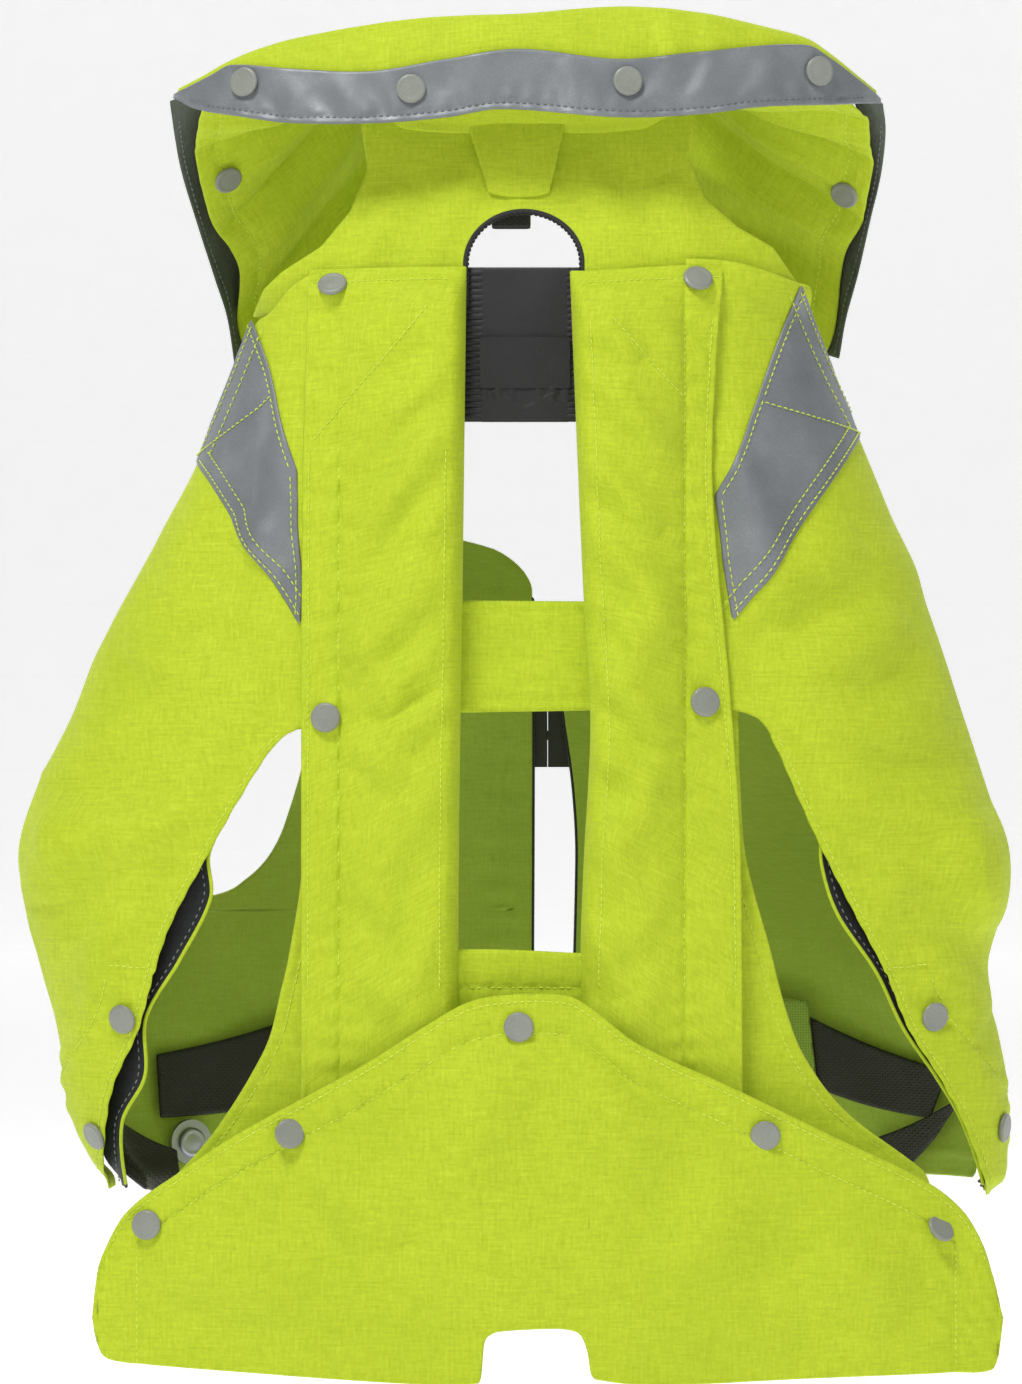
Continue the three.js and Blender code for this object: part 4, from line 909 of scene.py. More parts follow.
columns = np.unique(np.concatenate([np.linspace(-220, 243, 190), np.linspace(-25.5, -19, 34), np.linspace(29, 37.5, 34),
                                    np.linspace(-220, -212, 8), np.linspace(235, 243, 8)]))
x, v = np.meshgrid(columns, np.linspace(0, 1, 84))
z = tail_bottom(x) + v * (np.maximum(tail_top(x), tail_bottom(x) + 0.8) - tail_bottom(x))
points = tail_surface(x, z)
tail = cloth("tail_cover", points, YELLOW, 1.8, uv=stacked(x, z, 0 * x)[..., :2])
settle(tail, "vest", "tail_cover", finish="yellow", blend=("tail_flap", (15.8, -120, 0.5), (15.8, -120, 44)))
cut_sheet(tail, points)
run = np.linspace(-196, 218, 300)
lines = [line_on(tail_surface, run, tail_top(run) - 19, 1.05),
         line_on(tail_surface, np.full(60, -197.0), np.linspace(8, tail_top(-197.0) - 19, 60), 1.05),
         line_on(tail_surface, np.full(60, 219.0), np.linspace(8, tail_top(219.0) - 19, 60), 1.05),
         line_on(tail_surface, np.linspace(-210, 234, 300), tail_top(np.linspace(-210, 234, 300)) - 3.2, 1.05)]
settle(stitches("tail_stitches", lines, THREAD), "vest",
       blend=("tail_flap", (15.8, -120, 0.5), (15.8, -120, 44)))
for which, sx, sz in (("centre", -3, 181), ("left", -120, 126), ("right", 122, 126), ("outer_left", -192, 79),
                      ("outer_right", 210, 76)):
    snap_on(f"snap_tail_{which}_cap", tail_surface, sx, sz, "tail_flap", f"snap_tail_{which}", 2.2)

x, v = np.meshgrid(columns[::2], np.linspace(0, 1, 40))
x = 11.5 + (x - 11.5) * 0.975
z = tail_bottom(x) + 3 + v * (np.maximum(tail_top(x) - 7, tail_bottom(x) + 3.8) - tail_bottom(x) - 3)
points = on_tail(x, z, 13.0 + rumple(x, z, 33, 70, 0.8))
backing = cloth("tail_backing", points, BACKED_PAINTED_SHADE, 1.6, uv=stacked(x, z, 0 * x)[..., :2])
settle(backing, "vest", "tail_backing", finish="yellow")
cut_sheet(backing, points)

# ---- Wings: one piece of cloth each, from under the back cover round the side -------------------------

wing_inner = {
    -1: through([[92, -219], [100, -219], [135, -215], [153, -210], [176, -199], [200, -192], [223, -185], [241, -177],
                 [266, -163], [296, -146], [322, -129], [331, -118], [336, -98], [350, -92], [565, -92]]),
    1: through([[92, 240], [114, 232], [133, 224], [153, 213], [178, 197], [207, 185], [237, 169], [270, 152],
                [296, 140], [323, 128], [338, 118], [344, 100], [356, 90], [565, 84]]),
}
wing_round = through([[92, 97], [230, 104], [280, 100], [320, 93], [565, 90]])
wing_folds = {
    -1: [(-128, 345, -210, 372, 12, 2.6), (-136, 322, -236, 326, 14, 2.4), (-150, 296, -246, 262, 14, 2.6),
         (-120, 372, -190, 408, 12, 2.0), (-176, 252, -238, 196, 13, 2.0), (-120, 420, -176, 440, 9, 1.4),
         (-200, 232, -228, 140, 12, 1.8), (-232, 300, -248, 238, 12, 2.4), (-118, 520, -132, 400, 10, 1.8)],
    1: [(120, 352, 196, 392, 12, 2.4), (130, 338, 222, 338, 14, 2.4), (146, 302, 236, 286, 13, 2.4),
        (118, 396, 172, 432, 11, 1.8), (172, 250, 232, 262, 13, 2.2), (196, 222, 240, 180, 13, 2.0),
        (212, 178, 240, 118, 11, 1.8), (226, 290, 240, 226, 11, 2.4), (112, 470, 124, 380, 10, 1.8),
        (96, 500, 108, 420, 8, 1.8)],
}
patch_outline = {
    -1: [(-140.5, 542), (-126, 503), (-114, 463), (-114, 385), (-171, 472)],
    1: [(141, 559), (119, 502), (97, 450), (106, 387), (174, 487)],
}


def apparent_x(angle, z, side):
    """x as laid flat: the trunk's own x to the side seam, and on past it by the way round."""
    turn = np.clip(np.abs(angle), 0, 90)
    x = (half_width(side, z) + WING_FACE) * np.sin(np.radians(turn)) ** (2 / SQUARENESS)
    return side * (x + 1.9 * np.clip(np.abs(angle) - 84, 0, 40))


def placket(z, side):
    """Where the stitched facing along a wing's lower inner edge ends, measured out from that edge."""
    return 20 + 12 * smooth(z, 205, 130)


def wing_depth(angle, z, side):
    x = apparent_x(angle, z, side)
    from_edge = np.abs(x) - np.abs(wing_inner[side](z))
    body = smooth(from_edge, 2, 30)
    low_seam = seam_dent(from_edge - placket(z, side), z, 0.9, 0.9, 14) * (1 - smooth(z, 196, 214))
    hem = seam_dent(from_edge - 3.0, z, 0.45, 0.35, 12) * (1 - smooth(z, 328, 336))
    arch = seam_dent(z - 209 - 0.1 * (np.abs(x) - 195), x, 0.8, 0.5, 12) * (from_edge < placket(z, side))
    tuck = -2.2 * (1 - smooth(np.abs(x), 100, 112)) * smooth(z, 330, 345)
    drape = 2.9 * folds(x, z, wing_folds[side]) + rumple(x, z, 40 + side, 64, 2.0)
    return WING_FACE + tuck + soft_floor(drape * body, -1.8) + low_seam + hem + arch


def wing_at(side, extra=0.0):
    """A wing's surface as a function of x and z, on the back."""
    def place(x, z):
        angle = angle_at(np.where(side < 0, np.minimum(x, -1), np.maximum(x, 1)), z, WING_FACE)
        return trunk(angle, z, wing_depth(angle, z, side) + extra)
    return place


def wing_grid(side, columns, rows, low, high, inset=0.0, far=0.0):
    """Angles and heights over a wing: angle from the inner edge round to the armhole edge, with the top sloping."""
    u, v = np.meshgrid(np.linspace(0, 1, columns), np.linspace(0, 1, rows))
    top = high - (23 if side < 0 else 12) * smooth(u, 0.05, 0.53) - 76 * smooth(u, 0.5, 1.0)
    z = low + v * (top - low)
    start = angle_at(wing_inner[side](z) + side * inset, z, WING_FACE)
    end = side * (wing_round(z) - far)
    return start + u * (end - start), z


for side_name, side in SIDES.items():
    angle, z = wing_grid(side, 118, 230, 92 if side < 0 else 90, 565 if side < 0 else 571)
    points = trunk(angle, z, wing_depth(angle, z, side))
    uv = stacked(apparent_x(angle, z, side), z, 0 * z)[..., :2]
    if side < 0:
        points, uv = points[:, ::-1], uv[:, ::-1]
    wing = cloth(f"wing_cover_{side_name}", points, YELLOW, uv=uv)
    top_hinge = {-1: (-222.2, 18.9, 92), 1: (238.7, 18.9, 92)}[side]
    inner_a = np.array({-1: (-243, 0, 187), 1: (250, 0, 183)}[side], float)
    blend = (f"side_flap_{side_name}", inner_a, inner_a - (side * 20, 0, 20))
    settle(wing, "vest", f"wing_cover_{side_name}", f"wing_flap_{side_name}", finish="yellow", blend=blend)
    cut_sheet(wing, points)
    surface = wing_at(side)
    z_low = np.linspace(100, 204, 120)
    z_edge = np.linspace(98, 328, 200)
    edge = wing_inner[side]
    lines = [line_on(surface, edge(z_low) + side * placket(z_low, side), z_low, 0.9),
             line_on(surface, edge(z_edge) + side * 3.0, z_edge, 0.9),
             line_on(surface, np.linspace(edge(209) + side * 1, edge(209) + side * 20, 30),
                     np.linspace(209, 211, 30), 0.9)]
    row = stitches(f"wing_stitches_{side_name}", lines, THREAD)
    settle(row, "vest", blend=blend)
    sites = {-1: [("upper", -205, 183), ("lower", -221, 122)], 1: [("upper", 209, 184), ("lower", 246, 125)]}[side]
    for which, sx, sz in sites:
        snap_on(f"snap_wing_{which}_{side_name}_cap", surface, sx, sz, f"side_flap_{side_name}",
                f"snap_wing_{which}_{side_name}")
    corners = np.array(patch_outline[side], float)
    tip_high, inner_high, inner_low, tip_low, outer = corners
    t = np.linspace(0, 1, 90)[:, None]
    inner_line = np.where(t < 0.55, inner_low + (inner_high - inner_low) * 0, 0)
    way = np.array([0, 0.34, 0.66, 1.0])
    path = np.stack([tip_high, inner_high, inner_low, tip_low])
    inward = np.stack([np.interp(t[:, 0], way, path[:, k]) for k in (0, 1)], axis=1)
    rim_way = np.array([0, 0.44, 1.0])
    rim_path = np.stack([tip_high, outer, tip_low])
    outward = np.stack([np.interp(t[:, 0], rim_way, rim_path[:, k]) for k in (0, 1)], axis=1)
    w = np.linspace(0, 1, 44)[None, :, None]
    flat = inward[::-1, None] * (1 - w) + outward[::-1, None] * w
    if side < 0:
        flat = flat[:, ::-1]
    patch_points = wing_at(side, 1.5)(flat[..., 0], flat[..., 1])
    patch = cloth(f"shoulder_patch_{side_name}", patch_points, REFLECTIVE, 1.0, uv=flat)
    settle(patch, "vest", f"shoulder_patch_{side_name}", finish="reflective")
    low_corner, high_corner = corners.min(axis=0), corners.max(axis=0)
    wide, high = np.linspace(low_corner, high_corner, 120).T
    cut_sheet(patch, patch_points,
              flat=(run_of(wing_at(side, 1.5)(wide, 0 * wide + outer[1])),
                    run_of(wing_at(side, 1.5)(0 * high + inner_low[0], high))))
    over = wing_at(side, 2.0)
    centre = corners.mean(axis=0)

    def inset_line(a, b, by, count=70):
        """A straight line from a to b moved `by` towards the patch's middle."""
        along = (b - a) / np.linalg.norm(b - a)
        inward_way = np.array([-along[1], along[0]])
        inward_way *= np.sign(inward_way @ (centre - (a + b) / 2))
        p = a + (b - a) * np.linspace(0.03, 0.97, count)[:, None] + inward_way * by
        return line_on(over, p[:, 0], p[:, 1], 0.35)

    seams = [inset_line(tip_high, outer, 2.2), inset_line(tip_low, outer, 2.2), inset_line(tip_high, inner_high, 2.2),
             inset_line(inner_high, inner_low, 2.2), inset_line(inner_low, tip_low, 2.2),
             inset_line(tip_high, outer, 8.0), inset_line(outer, inner_high, 0.0 if side < 0 else 3.0),
             inset_line(tip_low, outer, 8.0)]
    settle(stitches(f"shoulder_patch_stitches_{side_name}", seams, THREAD, gap=3.8), "vest")

# ---- Wing linings, with the lime piping along their facing, and the folded bladders -------------------

lining_edge = {
    -1: through([[92, -204], [129, -205], [153, -193], [184, -192], [213, -175], [245, -159], [266, -160], [280, -155],
                 [300, -147], [560, -96]]),
    1: through([[92, 236], [114, 229], [133, 221], [153, 209], [178, 192], [207, 178], [237, 158], [262, 150],
                [284, 149], [300, 143], [560, 88]]),
}
for side_name, side in SIDES.items():
    u, v = np.meshgrid(np.linspace(0, 1, 90), np.linspace(0, 1, 150))
    z = 94 + v * (498 - 94)
    start = angle_at(lining_edge[side](z), z, 2.6)
    end = side * (wing_round(z) - 1.0)
    angle = start + u * (end - start)
    rim = u * 200
    depth = 2.6 + 2.2 * bell((u - 0.0) * 12, 1.2) + rumple(apparent_x(angle, z, side), z, 50 + side, 55, 1.0) * smooth(u, 0, 0.1)
    points = trunk(angle, z, depth)
    uv = stacked(apparent_x(angle, z, side), z, 0 * z)[..., :2]
    flip = slice(None, None, -1) if side < 0 else slice(None)
    lining = cloth(f"wing_lining_{side_name}", points[:, flip], LINING, 1.0, uv=uv[:, flip])
    settle(lining, "vest", f"wing_lining_{side_name}", finish="black_fabric")
    cut_sheet(lining, points)
    pipe_z = np.linspace(96, 282, 220)
    pipe = trunk(angle_at(lining_edge[side](pipe_z), pipe_z, 2.6), pipe_z, 4.9)
    settle(tube(f"wing_piping_{side_name}", pipe, 0.95, YELLOW, 8), "vest", finish="yellow")
    settle(stitches(f"wing_lining_stitches_{side_name}",
                    [(trunk(angle_at(lining_edge[side](pipe_z) + side * 3.4, pipe_z, 2.6), pipe_z, 5.1),
                      np.tile((side * 0.4, -0.9, 0.0), (220, 1)))], THREAD_GREY, gap=4.2), "vest")

    u, v = np.meshgrid(np.linspace(0, 1, 70), np.linspace(0, 1, 120))
    z = 232 + v * (488 - 232)
    start = angle_at(wing_inner[side](z) + side * 9, z, 6.0)
    end = side * (wing_round(z) - 5.0)
    angle = start + u * (end - start)
    channel = 0.6 * np.sin(z * 2 * np.pi / 60) * np.sin(np.pi * u)
    weld = 1.4 * np.sqrt(np.clip(np.sin(np.pi * np.clip((u - 0.05) / 0.9, 0, 1)) * np.sin(np.pi * v), 0, 1))
    points = trunk(angle, z, 5.6 + 0.4 * channel)
    pack = cloth(f"wing_bladder_{side_name}", points[:, flip], FILM, 0.6 + weld)
    settle(pack, "vest", f"wing_bladder_{side_name}", finish="bladder")
    cut_sheet(pack, points)

    x, z = field(34, 150, lambda z: slot_edge[side](z) + side * 9, level(topstitch[side] - side * 5), level(196), level(545))
    if side < 0:
        x = x[:, ::-1]
    u = (x - x.min(axis=1, keepdims=True)) / np.ptp(x, axis=1)[:, None]
    v = (z - 196) / 349
    leaf = np.sqrt(np.clip(np.sin(np.pi * np.clip(0.04 + 0.92 * u, 0, 1)) * np.sin(np.pi * np.clip(0.02 + 0.96 * v, 0, 1)), 0, 1))
    points = on_back(x, z, 6.6 + 0.4 * np.sin(z * 2 * np.pi / 58))
    pack = cloth(f"back_bladder_{side_name}", points, FILM, 1.0 + 3.4 * leaf)
    settle(pack, "vest", f"back_bladder_{side_name}", finish="bladder")

x, v = np.meshgrid(np.linspace(-180, 200, 110), np.linspace(0, 1, 40))
z = 34 + v * (tail_top(x) - 24 - 34)
leaf = np.sqrt(np.clip(np.sin(np.pi * (x + 180) / 380) * np.sin(np.pi * np.clip(v, 0, 1)), 0, 1))
points = on_tail(x, z, 16.2 + 0.3 * np.sin(x * 2 * np.pi / 60))
pack = cloth("tail_bladder", points, FILM, 0.6 + 1.4 * leaf, uv=stacked(x, z, 0 * x)[..., :2])
settle(pack, "vest", "tail_bladder", finish="bladder")
cut_sheet(pack, points)

# ---- Front panels, shoulders and straps -----------------------------------------------------------------

armhole = {
    -1: through([[232, -236], [236, -200], [242, -163], [250, -148], [262, -136], [280, -127], [326, -115], [400, -112],
                 [480, -120], [546, -135], [556, -128], [563, -119], [575, -102], [593, -86], [607, -81], [632, -79]]),
    1: through([[232, 246], [240, 232], [262, 212], [290, 186], [320, 160], [350, 140], [400, 122], [480, 124],
                [546, 135], [556, 128], [563, 119], [575, 102], [593, 86], [607, 81], [632, 79]]),
}
side_edge = {-1: lambda z: np.where(z < 232, -0.985 * left_width(z), armhole[-1](z)),
             1: lambda z: np.where(z < 232, 0.985 * right_width(z), armhole[1](z))}
front_edge = {-1: through([[96, 3], [404, 3.5], [413, 0], [421, -8], [427, -19], [431, -34], [450, -38], [560, -38],
                           [632, -40]]),
              1: through([[96, 24], [260, 29], [300, 27], [346, 21], [372, 22], [388, 30], [402, 35], [431, 37],
                          [470, 38], [560, 38], [632, 40]])}
front_folds = [(-150, 150, -60, 210, 14, 2.0), (-90, 250, -30, 330, 14, 1.8), (-170, 210, -120, 140, 12, 1.6),
               (60, 160, 170, 200, 14, 2.0), (50, 320, 120, 240, 14, 1.8), (-60, 500, -100, 420, 12, 1.4),
               (60, 500, 100, 430, 12, 1.4)]


def front_depth(x, z):
    """The front's cloth, with a stitched facing 16 mm wide along its opening and a hem at its foot."""
    opening = np.where(x < 12, front_edge[-1](z) - x, x - front_edge[1](z))
    reach = np.abs(side_edge[-1](z) * (x < 12) + side_edge[1](z) * (x >= 12)) - np.abs(x)
    near_nut = np.exp(-(((x + 180) / 22) ** 2 + ((z - 112) / 22) ** 2))
    loose = (1 - near_nut) * smooth(opening, 2, 26)
    return (1.4 + folds(x, z, front_folds) * loose + rumple(x, z, 61, 70, 1.6) * loose * smooth(z, 96, 130)
            + seam_dent(opening - 16, z, 0.7, 0.5, 14) * (1 - smooth(z, 400, 420)) + seam_dent(z - 108, x, 0.7, 0.5, 15)
            + seam_dent(reach - 7, z, 0.6, 0.4, 12) * smooth(z, 250, 275))


def front_surface(x, z):
    return on_front(x, z, front_depth(x, z))


for side_name, side in SIDES.items():
    levels = np.unique(np.concatenate([np.linspace(96, 632, 230), np.linspace(228, 256, 24)]))
    x, z = field(np.linspace(0, 1, 80), (levels - 96) / 536, front_edge[side], side_edge[side], level(96), level(632))
    points = front_surface(x, z)
    if side > 0:
        points = points[:, ::-1]
    panel = cloth(f"front_panel_{side_name}", points, YELLOW, 1.6)
    settle(panel, "vest", f"front_panel_{side_name}", finish="yellow")
    cut_sheet(panel, points)
    # The panel's inside face: a sheet in the coated back's painted-shade green.
    points = on_front(x, z, front_depth(x, z) - 1.45)
    if side > 0:
        points = points[:, ::-1]
    inside = cloth(f"front_facing_{side_name}", points, BACKED_PAINTED_SHADE, 0.8)
    settle(inside, "vest", finish="yellow")
    cut_sheet(inside, points)
    z_front = np.linspace(104, 405, 200)
    z_arm = np.linspace(262, 540, 160)
    x_foot = np.linspace(front_edge[side](110) + side * 6, side * 200, 120)
    lines = [line_on(front_surface, front_edge[side](z_front) + side * 16, z_front, 1.0),
             line_on(front_surface, front_edge[side](z_front) + side * 3, z_front, 1.0),
             line_on(front_surface, side_edge[side](z_arm) - side * 7, z_arm, 1.0),
             line_on(front_surface, x_foot, np.full(120, 108.0), 1.0)]
    lines = [(p, n * np.sign(n[:, 1:2])) for p, n in lines]
    settle(stitches(f"front_stitches_{side_name}", lines, THREAD), "vest")
    edge_run = np.linspace(100, 400, 200)
    piping = front_surface(front_edge[side](edge_run) - side * 0.4, edge_run)
    settle(tube(f"front_edge_binding_{side_name}", piping, 1.5, ELASTIC, 8), "vest", finish="elastic")

    share, turn = np.meshgrid(np.linspace(0, 1, 36), np.linspace(0, np.pi, 60))
    ridge_x = side * (40 + share * 39.5)
    back_y = on_back(ridge_x, 638 + 0 * ridge_x, 1.8)[..., 1]
    x, y = ridge_x, back_y * np.cos(turn)
    z = 636 + 22 * np.sin(turn) + rumple(ridge_x, back_y * np.cos(turn), 70 + side, 34, 0.9) * np.sin(turn)
    points = stacked(x, y, z)
    if side < 0:
        points = points[:, ::-1]
    bridge = cloth(f"shoulder_bridge_{side_name}", points, YELLOW, 2.0)
    settle(bridge, "vest", f"shoulder_bridge_{side_name}", finish="yellow")
    cut_sheet(bridge, points)


def strap(name, stuff, corners, inside, node, finish, thickness=1.7, sag=1.2):
    """A flat strap across the inside of the front: its four corners are (x, z) low and high at its first end and low
    and high at its second, and its middle sags by sag."""
    (x0, low0), (x1, high0), (x2, low1), (x3, high1) = corners
    u, v = np.meshgrid(np.linspace(0, 1, 64), np.linspace(0, 1, 24))
    x = (1 - v) * (x0 + u * (x2 - x0)) + v * (x1 + u * (x3 - x1))
    z = (1 - v) * (low0 + u * (low1 - low0)) + v * (high0 + u * (high1 - high0))
    z = z - sag * np.sin(np.pi * u) * 4 * (1 if x2 > x0 else -1) * 0.5
    cockle = 0.7 * np.sin(x / 7.0) * bell(v - 0.5, 0.5)
    depth = -inside + cockle
    points = on_front(x, z, depth)
    flat = stacked(x, z, 0 * x)[..., :2]
    if (x2 - x0) > 0:
        points, flat = points[:, ::-1], flat[:, ::-1]
    piece = cloth(name, points, stuff, thickness, uv=flat)
    settle(piece, "vest", *([node] if node else []), finish=finish)
    cut_sheet(piece, points)
    return piece


strap("strap_upper_left", WEBBING, [(-192, 126), (-194, 158), (-112, 136), (-112, 180)], 5.0, "strap_upper_left",
      "black_fabric")
strap("strap_lower_left", WEBBING, [(-213, 104), (-217, 129), (-180, 82), (-184, 108)], 9.0, "strap_lower_left",
      "black_fabric")
strap("strap_upper_right", WEBBING, [(152, 142), (149, 178), (214, 126), (222, 150)], 5.0, "strap_upper_right",
      "black_fabric")
strap("strap_lower_right", WEBBING, [(188, 88), (182, 112), (216, 116), (228, 136)], 9.0, "strap_lower_right",
      "black_fabric")
strap("strap_anchor_right", ANCHOR, [(110, 138), (110, 190), (155, 141), (150, 186)], 7.4, "strap_anchor_right",
      "yellow", 1.4, 0.0)

# ---- The collar: an inflating ring under a cover, closed by a reflective band that snaps over its rim --

sewn = [through([[0, 0], [0.25, 58], [0.45, 84], [0.6, 92], [0.75, 94], [0.9, 82], [1, 66]]),
        through([[0, -65], [0.25, -63], [0.45, -44], [0.6, -6], [0.75, 40], [0.9, 92], [1, 116]]),
        through([[0, 643], [0.25, 646], [0.45, 664], [0.6, 684], [0.75, 676], [0.9, 618], [1, 530]])]
rim_left = through([[0, 0], [0.25, 72], [0.45, 150], [0.55, 170], [0.65, 174], [0.75, 169], [0.85, 156], [0.93, 151],
                    [1, 112]])
rim_right = through([[0, 0], [0.25, 72], [0.45, 154], [0.55, 177], [0.65, 184], [0.75, 181], [0.85, 171], [0.93, 163],
                     [1, 114]])
rim = [None,
       through([[0, -78], [0.25, -74], [0.45, -56], [0.55, -25], [0.65, 10], [0.75, 38], [0.85, 62], [0.93, 90],
                [1, 116]]),
       through([[0, 690], [0.25, 690], [0.45, 670], [0.55, 656], [0.65, 636], [0.75, 604], [0.85, 580], [0.93, 534],
                [1, 470]])]
collar_folds = [(0.48, 0.022, 4.0), (0.545, 0.015, -7.5), (0.60, 0.022, 6.0), (0.66, 0.014, -7.0), (0.715, 0.020, 5.0),
                (0.775, 0.015, -7.5), (0.83, 0.020, 5.5), (0.885, 0.014, -6.0), (0.93, 0.016, 3.5)]


def collar_edge(edge, t):
    out = np.where(t < 0, -rim_left(-t), rim_right(t)) if edge is rim else np.sign(t) * edge[0](np.abs(t))
    return stacked(out, edge[1](np.abs(t)), edge[2](np.abs(t)))


def collar_middle(t, v):
    return collar_edge(sewn, t) * (1 - v[..., None]) + collar_edge(rim, t) * v[..., None]


def collar_point(t, v, depth):
    """A point on the collar: t along it from -1 to 1, v across from the sewn edge to the rim, depth along the outward
    normal, which is along x across."""
    along = collar_middle(np.clip(t + 0.01, -1, 1), v) - collar_middle(np.clip(t - 0.01, -1, 1), v)
    across = collar_edge(rim, t) - collar_edge(sewn, t)
    out = np.cross(along, across)
    out /= np.maximum(np.linalg.norm(out, axis=-1, keepdims=True), 1e-9)
    return collar_middle(t, v) + out * depth[..., None]


def collar_depth(t, v):
    """The cover's depth: it puffs between its seams, and gathers in folds that fan out from the neck."""
    lean = np.abs(t) + 0.05 * (v - 0.5) * np.sin(9 * t)
    creases = sum(height * bell(lean - place, width) for place, width, height in collar_folds)
    puff = 5.0 * np.sin(np.pi * np.clip(v, 0, 1))
    return (8.4 + puff + creases * np.sin(np.pi * np.clip(v * 0.86 + 0.06, 0, 1)) ** 0.8
            + rumple(t * 520, v * 80, 81, 42, 1.6) * np.sin(np.pi * v) + seam_dent((v - 0.88) * 74, t * 560, 0.8, 0.8, 16))


def collar_surface(t, v):
    return collar_point(t, v, collar_depth(t, v))


t, v = np.meshgrid(np.linspace(-1, 1, 460), np.linspace(-0.09, 1, 50))
points = collar_surface(t, v)
flat = stacked(t * 540, v * 80, 0 * v)[..., :2]
cover = cloth("collar_cover", points, YELLOW, 1.6, uv=flat)
settle(cover, "vest", "collar_cover", finish="yellow")
cut_sheet(cover, points)
t, v = np.meshgrid(np.linspace(-1, 1, 300), np.linspace(0, 1, 34))
v = v * (0.86 + 0.05 * smooth(np.abs(t), 0.5, 0.62))
points = collar_point(t, v, 1.2 + 1.5 * rumple(t * 520, v * 80, 83, 60, 1.2) * np.sin(np.pi * v)
                      + seam_dent((v - 0.9) * 70, t * 560, 0.5, 0.5, 14))
collar_lining = cloth("collar_lining", points, LINING, 1.0, uv=stacked(t * 540, v * 80, 0 * v)[..., :2])
settle(collar_lining, "vest", "collar_lining", finish="black_fabric")
cut_sheet(collar_lining, points)
t, v = np.meshgrid(np.linspace(-0.9, 0.9, 200), np.linspace(0.14, 0.78, 24))
leaf = np.sqrt(np.clip(np.sin(np.pi * (v - 0.14) / 0.64) * np.sin(np.pi * (t + 0.9) / 1.8), 0, 1))
points = collar_point(t, v, 4.4 + 0.3 * np.sin(t * 40))
pack = cloth("collar_bladder", points, FILM, 0.6 + 1.6 * leaf, uv=stacked(t * 540, v * 80, 0 * v)[..., :2])
settle(pack, "vest", "collar_bladder", finish="bladder")
cut_sheet(pack, points)

band_low = through([[-181, 657], [-168, 650], [-145, 645], [-120, 641], [-79, 640], [-40, 643], [-13, 647], [48, 643],
                    [90, 645], [120, 649], [160, 652], [184, 655]])
band_high = through([[-181, 659], [-172, 662], [-160, 667], [-151, 671], [-120, 668], [-79, 666], [-40, 672],
                     [-3, 677], [48, 672], [89, 676], [144, 681], [158, 674], [172, 665], [184, 657.5]])
collar_crest = through([[-181, 660], [-165, 667], [-151, 674], [-135, 680], [-110, 686], [-53, 694], [-3, 696],
                        [50, 700], [90, 697], [125, 690], [145, 685], [158, 677], [172, 667], [184, 659]])
band_creases = [(-128, 670, -112, 644, 5, 1.8), (-100, 666, -80, 642, 5, 1.8), (-74, 668, -62, 645, 4, 1.2),
                (-22, 676, -30, 650, 5, 1.2), (20, 674, 30, 648, 5, 1.5), (76, 674, 66, 648, 4, 1.8),
                (98, 676, 88, 650, 4, 1.8), (128, 678, 120, 652, 5, 1.6), (-150, 668, -160, 650, 5, 1.6),
                (150, 676, 162, 654, 5, 1.6)]


def band_surface(x, z):
    """The band's face: in plan a flattened arc, y = -99 (1 - |x/187|^2.6)^(1/2.6), flaring a little at its foot, with
    slanting creases and a slow wave."""
    y = -99 * (1 - np.clip(np.abs(x) / 187, 0, 0.9995) ** 2.6) ** (1 / 2.6)
    share = (z - band_low(x)) / np.maximum(band_high(x) - band_low(x), 2)
    flare = 5.0 * (1 - np.clip(share, 0, 1)) ** 1.6
    relief = (folds(x, z, band_creases) + 1.2 * np.sin(x / 17.0 + 0.8) * (1 - np.clip(share, 0, 1))
              + rumple(x, z, 91, 34, 0.7) + seam_dent(z - band_low(x) - 3, x, 0.5, 0.5, 12))
    return stacked(x, y - flare - relief, z)


columns = 184 * np.sin(np.linspace(-np.arcsin(181 / 184), np.pi / 2 * 0.985, 260))
x, v = np.meshgrid(columns, np.linspace(0, 1, 26))
z = band_low(x) + v * (band_high(x) - band_low(x))
points = band_surface(x, z)
band = cloth("collar_band", points, REFLECTIVE, 1.2, uv=stacked(x, z, 0 * x)[..., :2])
settle(band, "vest", "collar_band", finish="reflective")
cut_sheet(band, points)
line_x = np.linspace(-172, 174, 300)
settle(stitches("collar_band_stitches", [line_on(band_surface, line_x, band_low(line_x) + 3.0, 0.7)], THREAD_GREY),
       "vest")

x, w = np.meshgrid(columns * 0.985, np.linspace(0, 1, 34))
rise = np.where(w < 0.62, np.sin(np.pi / 2 * np.clip(w / 0.62, 0, 1)), 1 - 0.55 * np.clip((w - 0.62) / 0.38, 0, 1) ** 1.6)
foot_z = np.minimum(band_high(x) - 4, collar_crest(x) - 4)
z = foot_z + rise * (collar_crest(x) - foot_z)
lie = band_surface(x, np.minimum(z, band_high(x) - 3))[..., 1]
thin = 1 - np.clip(np.abs(x) / 186, 0, 1) ** 5
y = lie + 3.2 + 25 * w**1.45 * thin + rumple(x, w * 45, 95, 50, 1.1) * np.sin(np.pi * w) * thin
y = y + 0.8 * np.sin(x / 23.0) * np.sin(np.pi * w)
points = stacked(x, y, z)
roll = cloth("collar_roll", points, YELLOW, 1.6, uv=stacked(x, w * 60, 0 * x)[..., :2])
settle(roll, "vest", finish="yellow")
cut_sheet(roll, points)

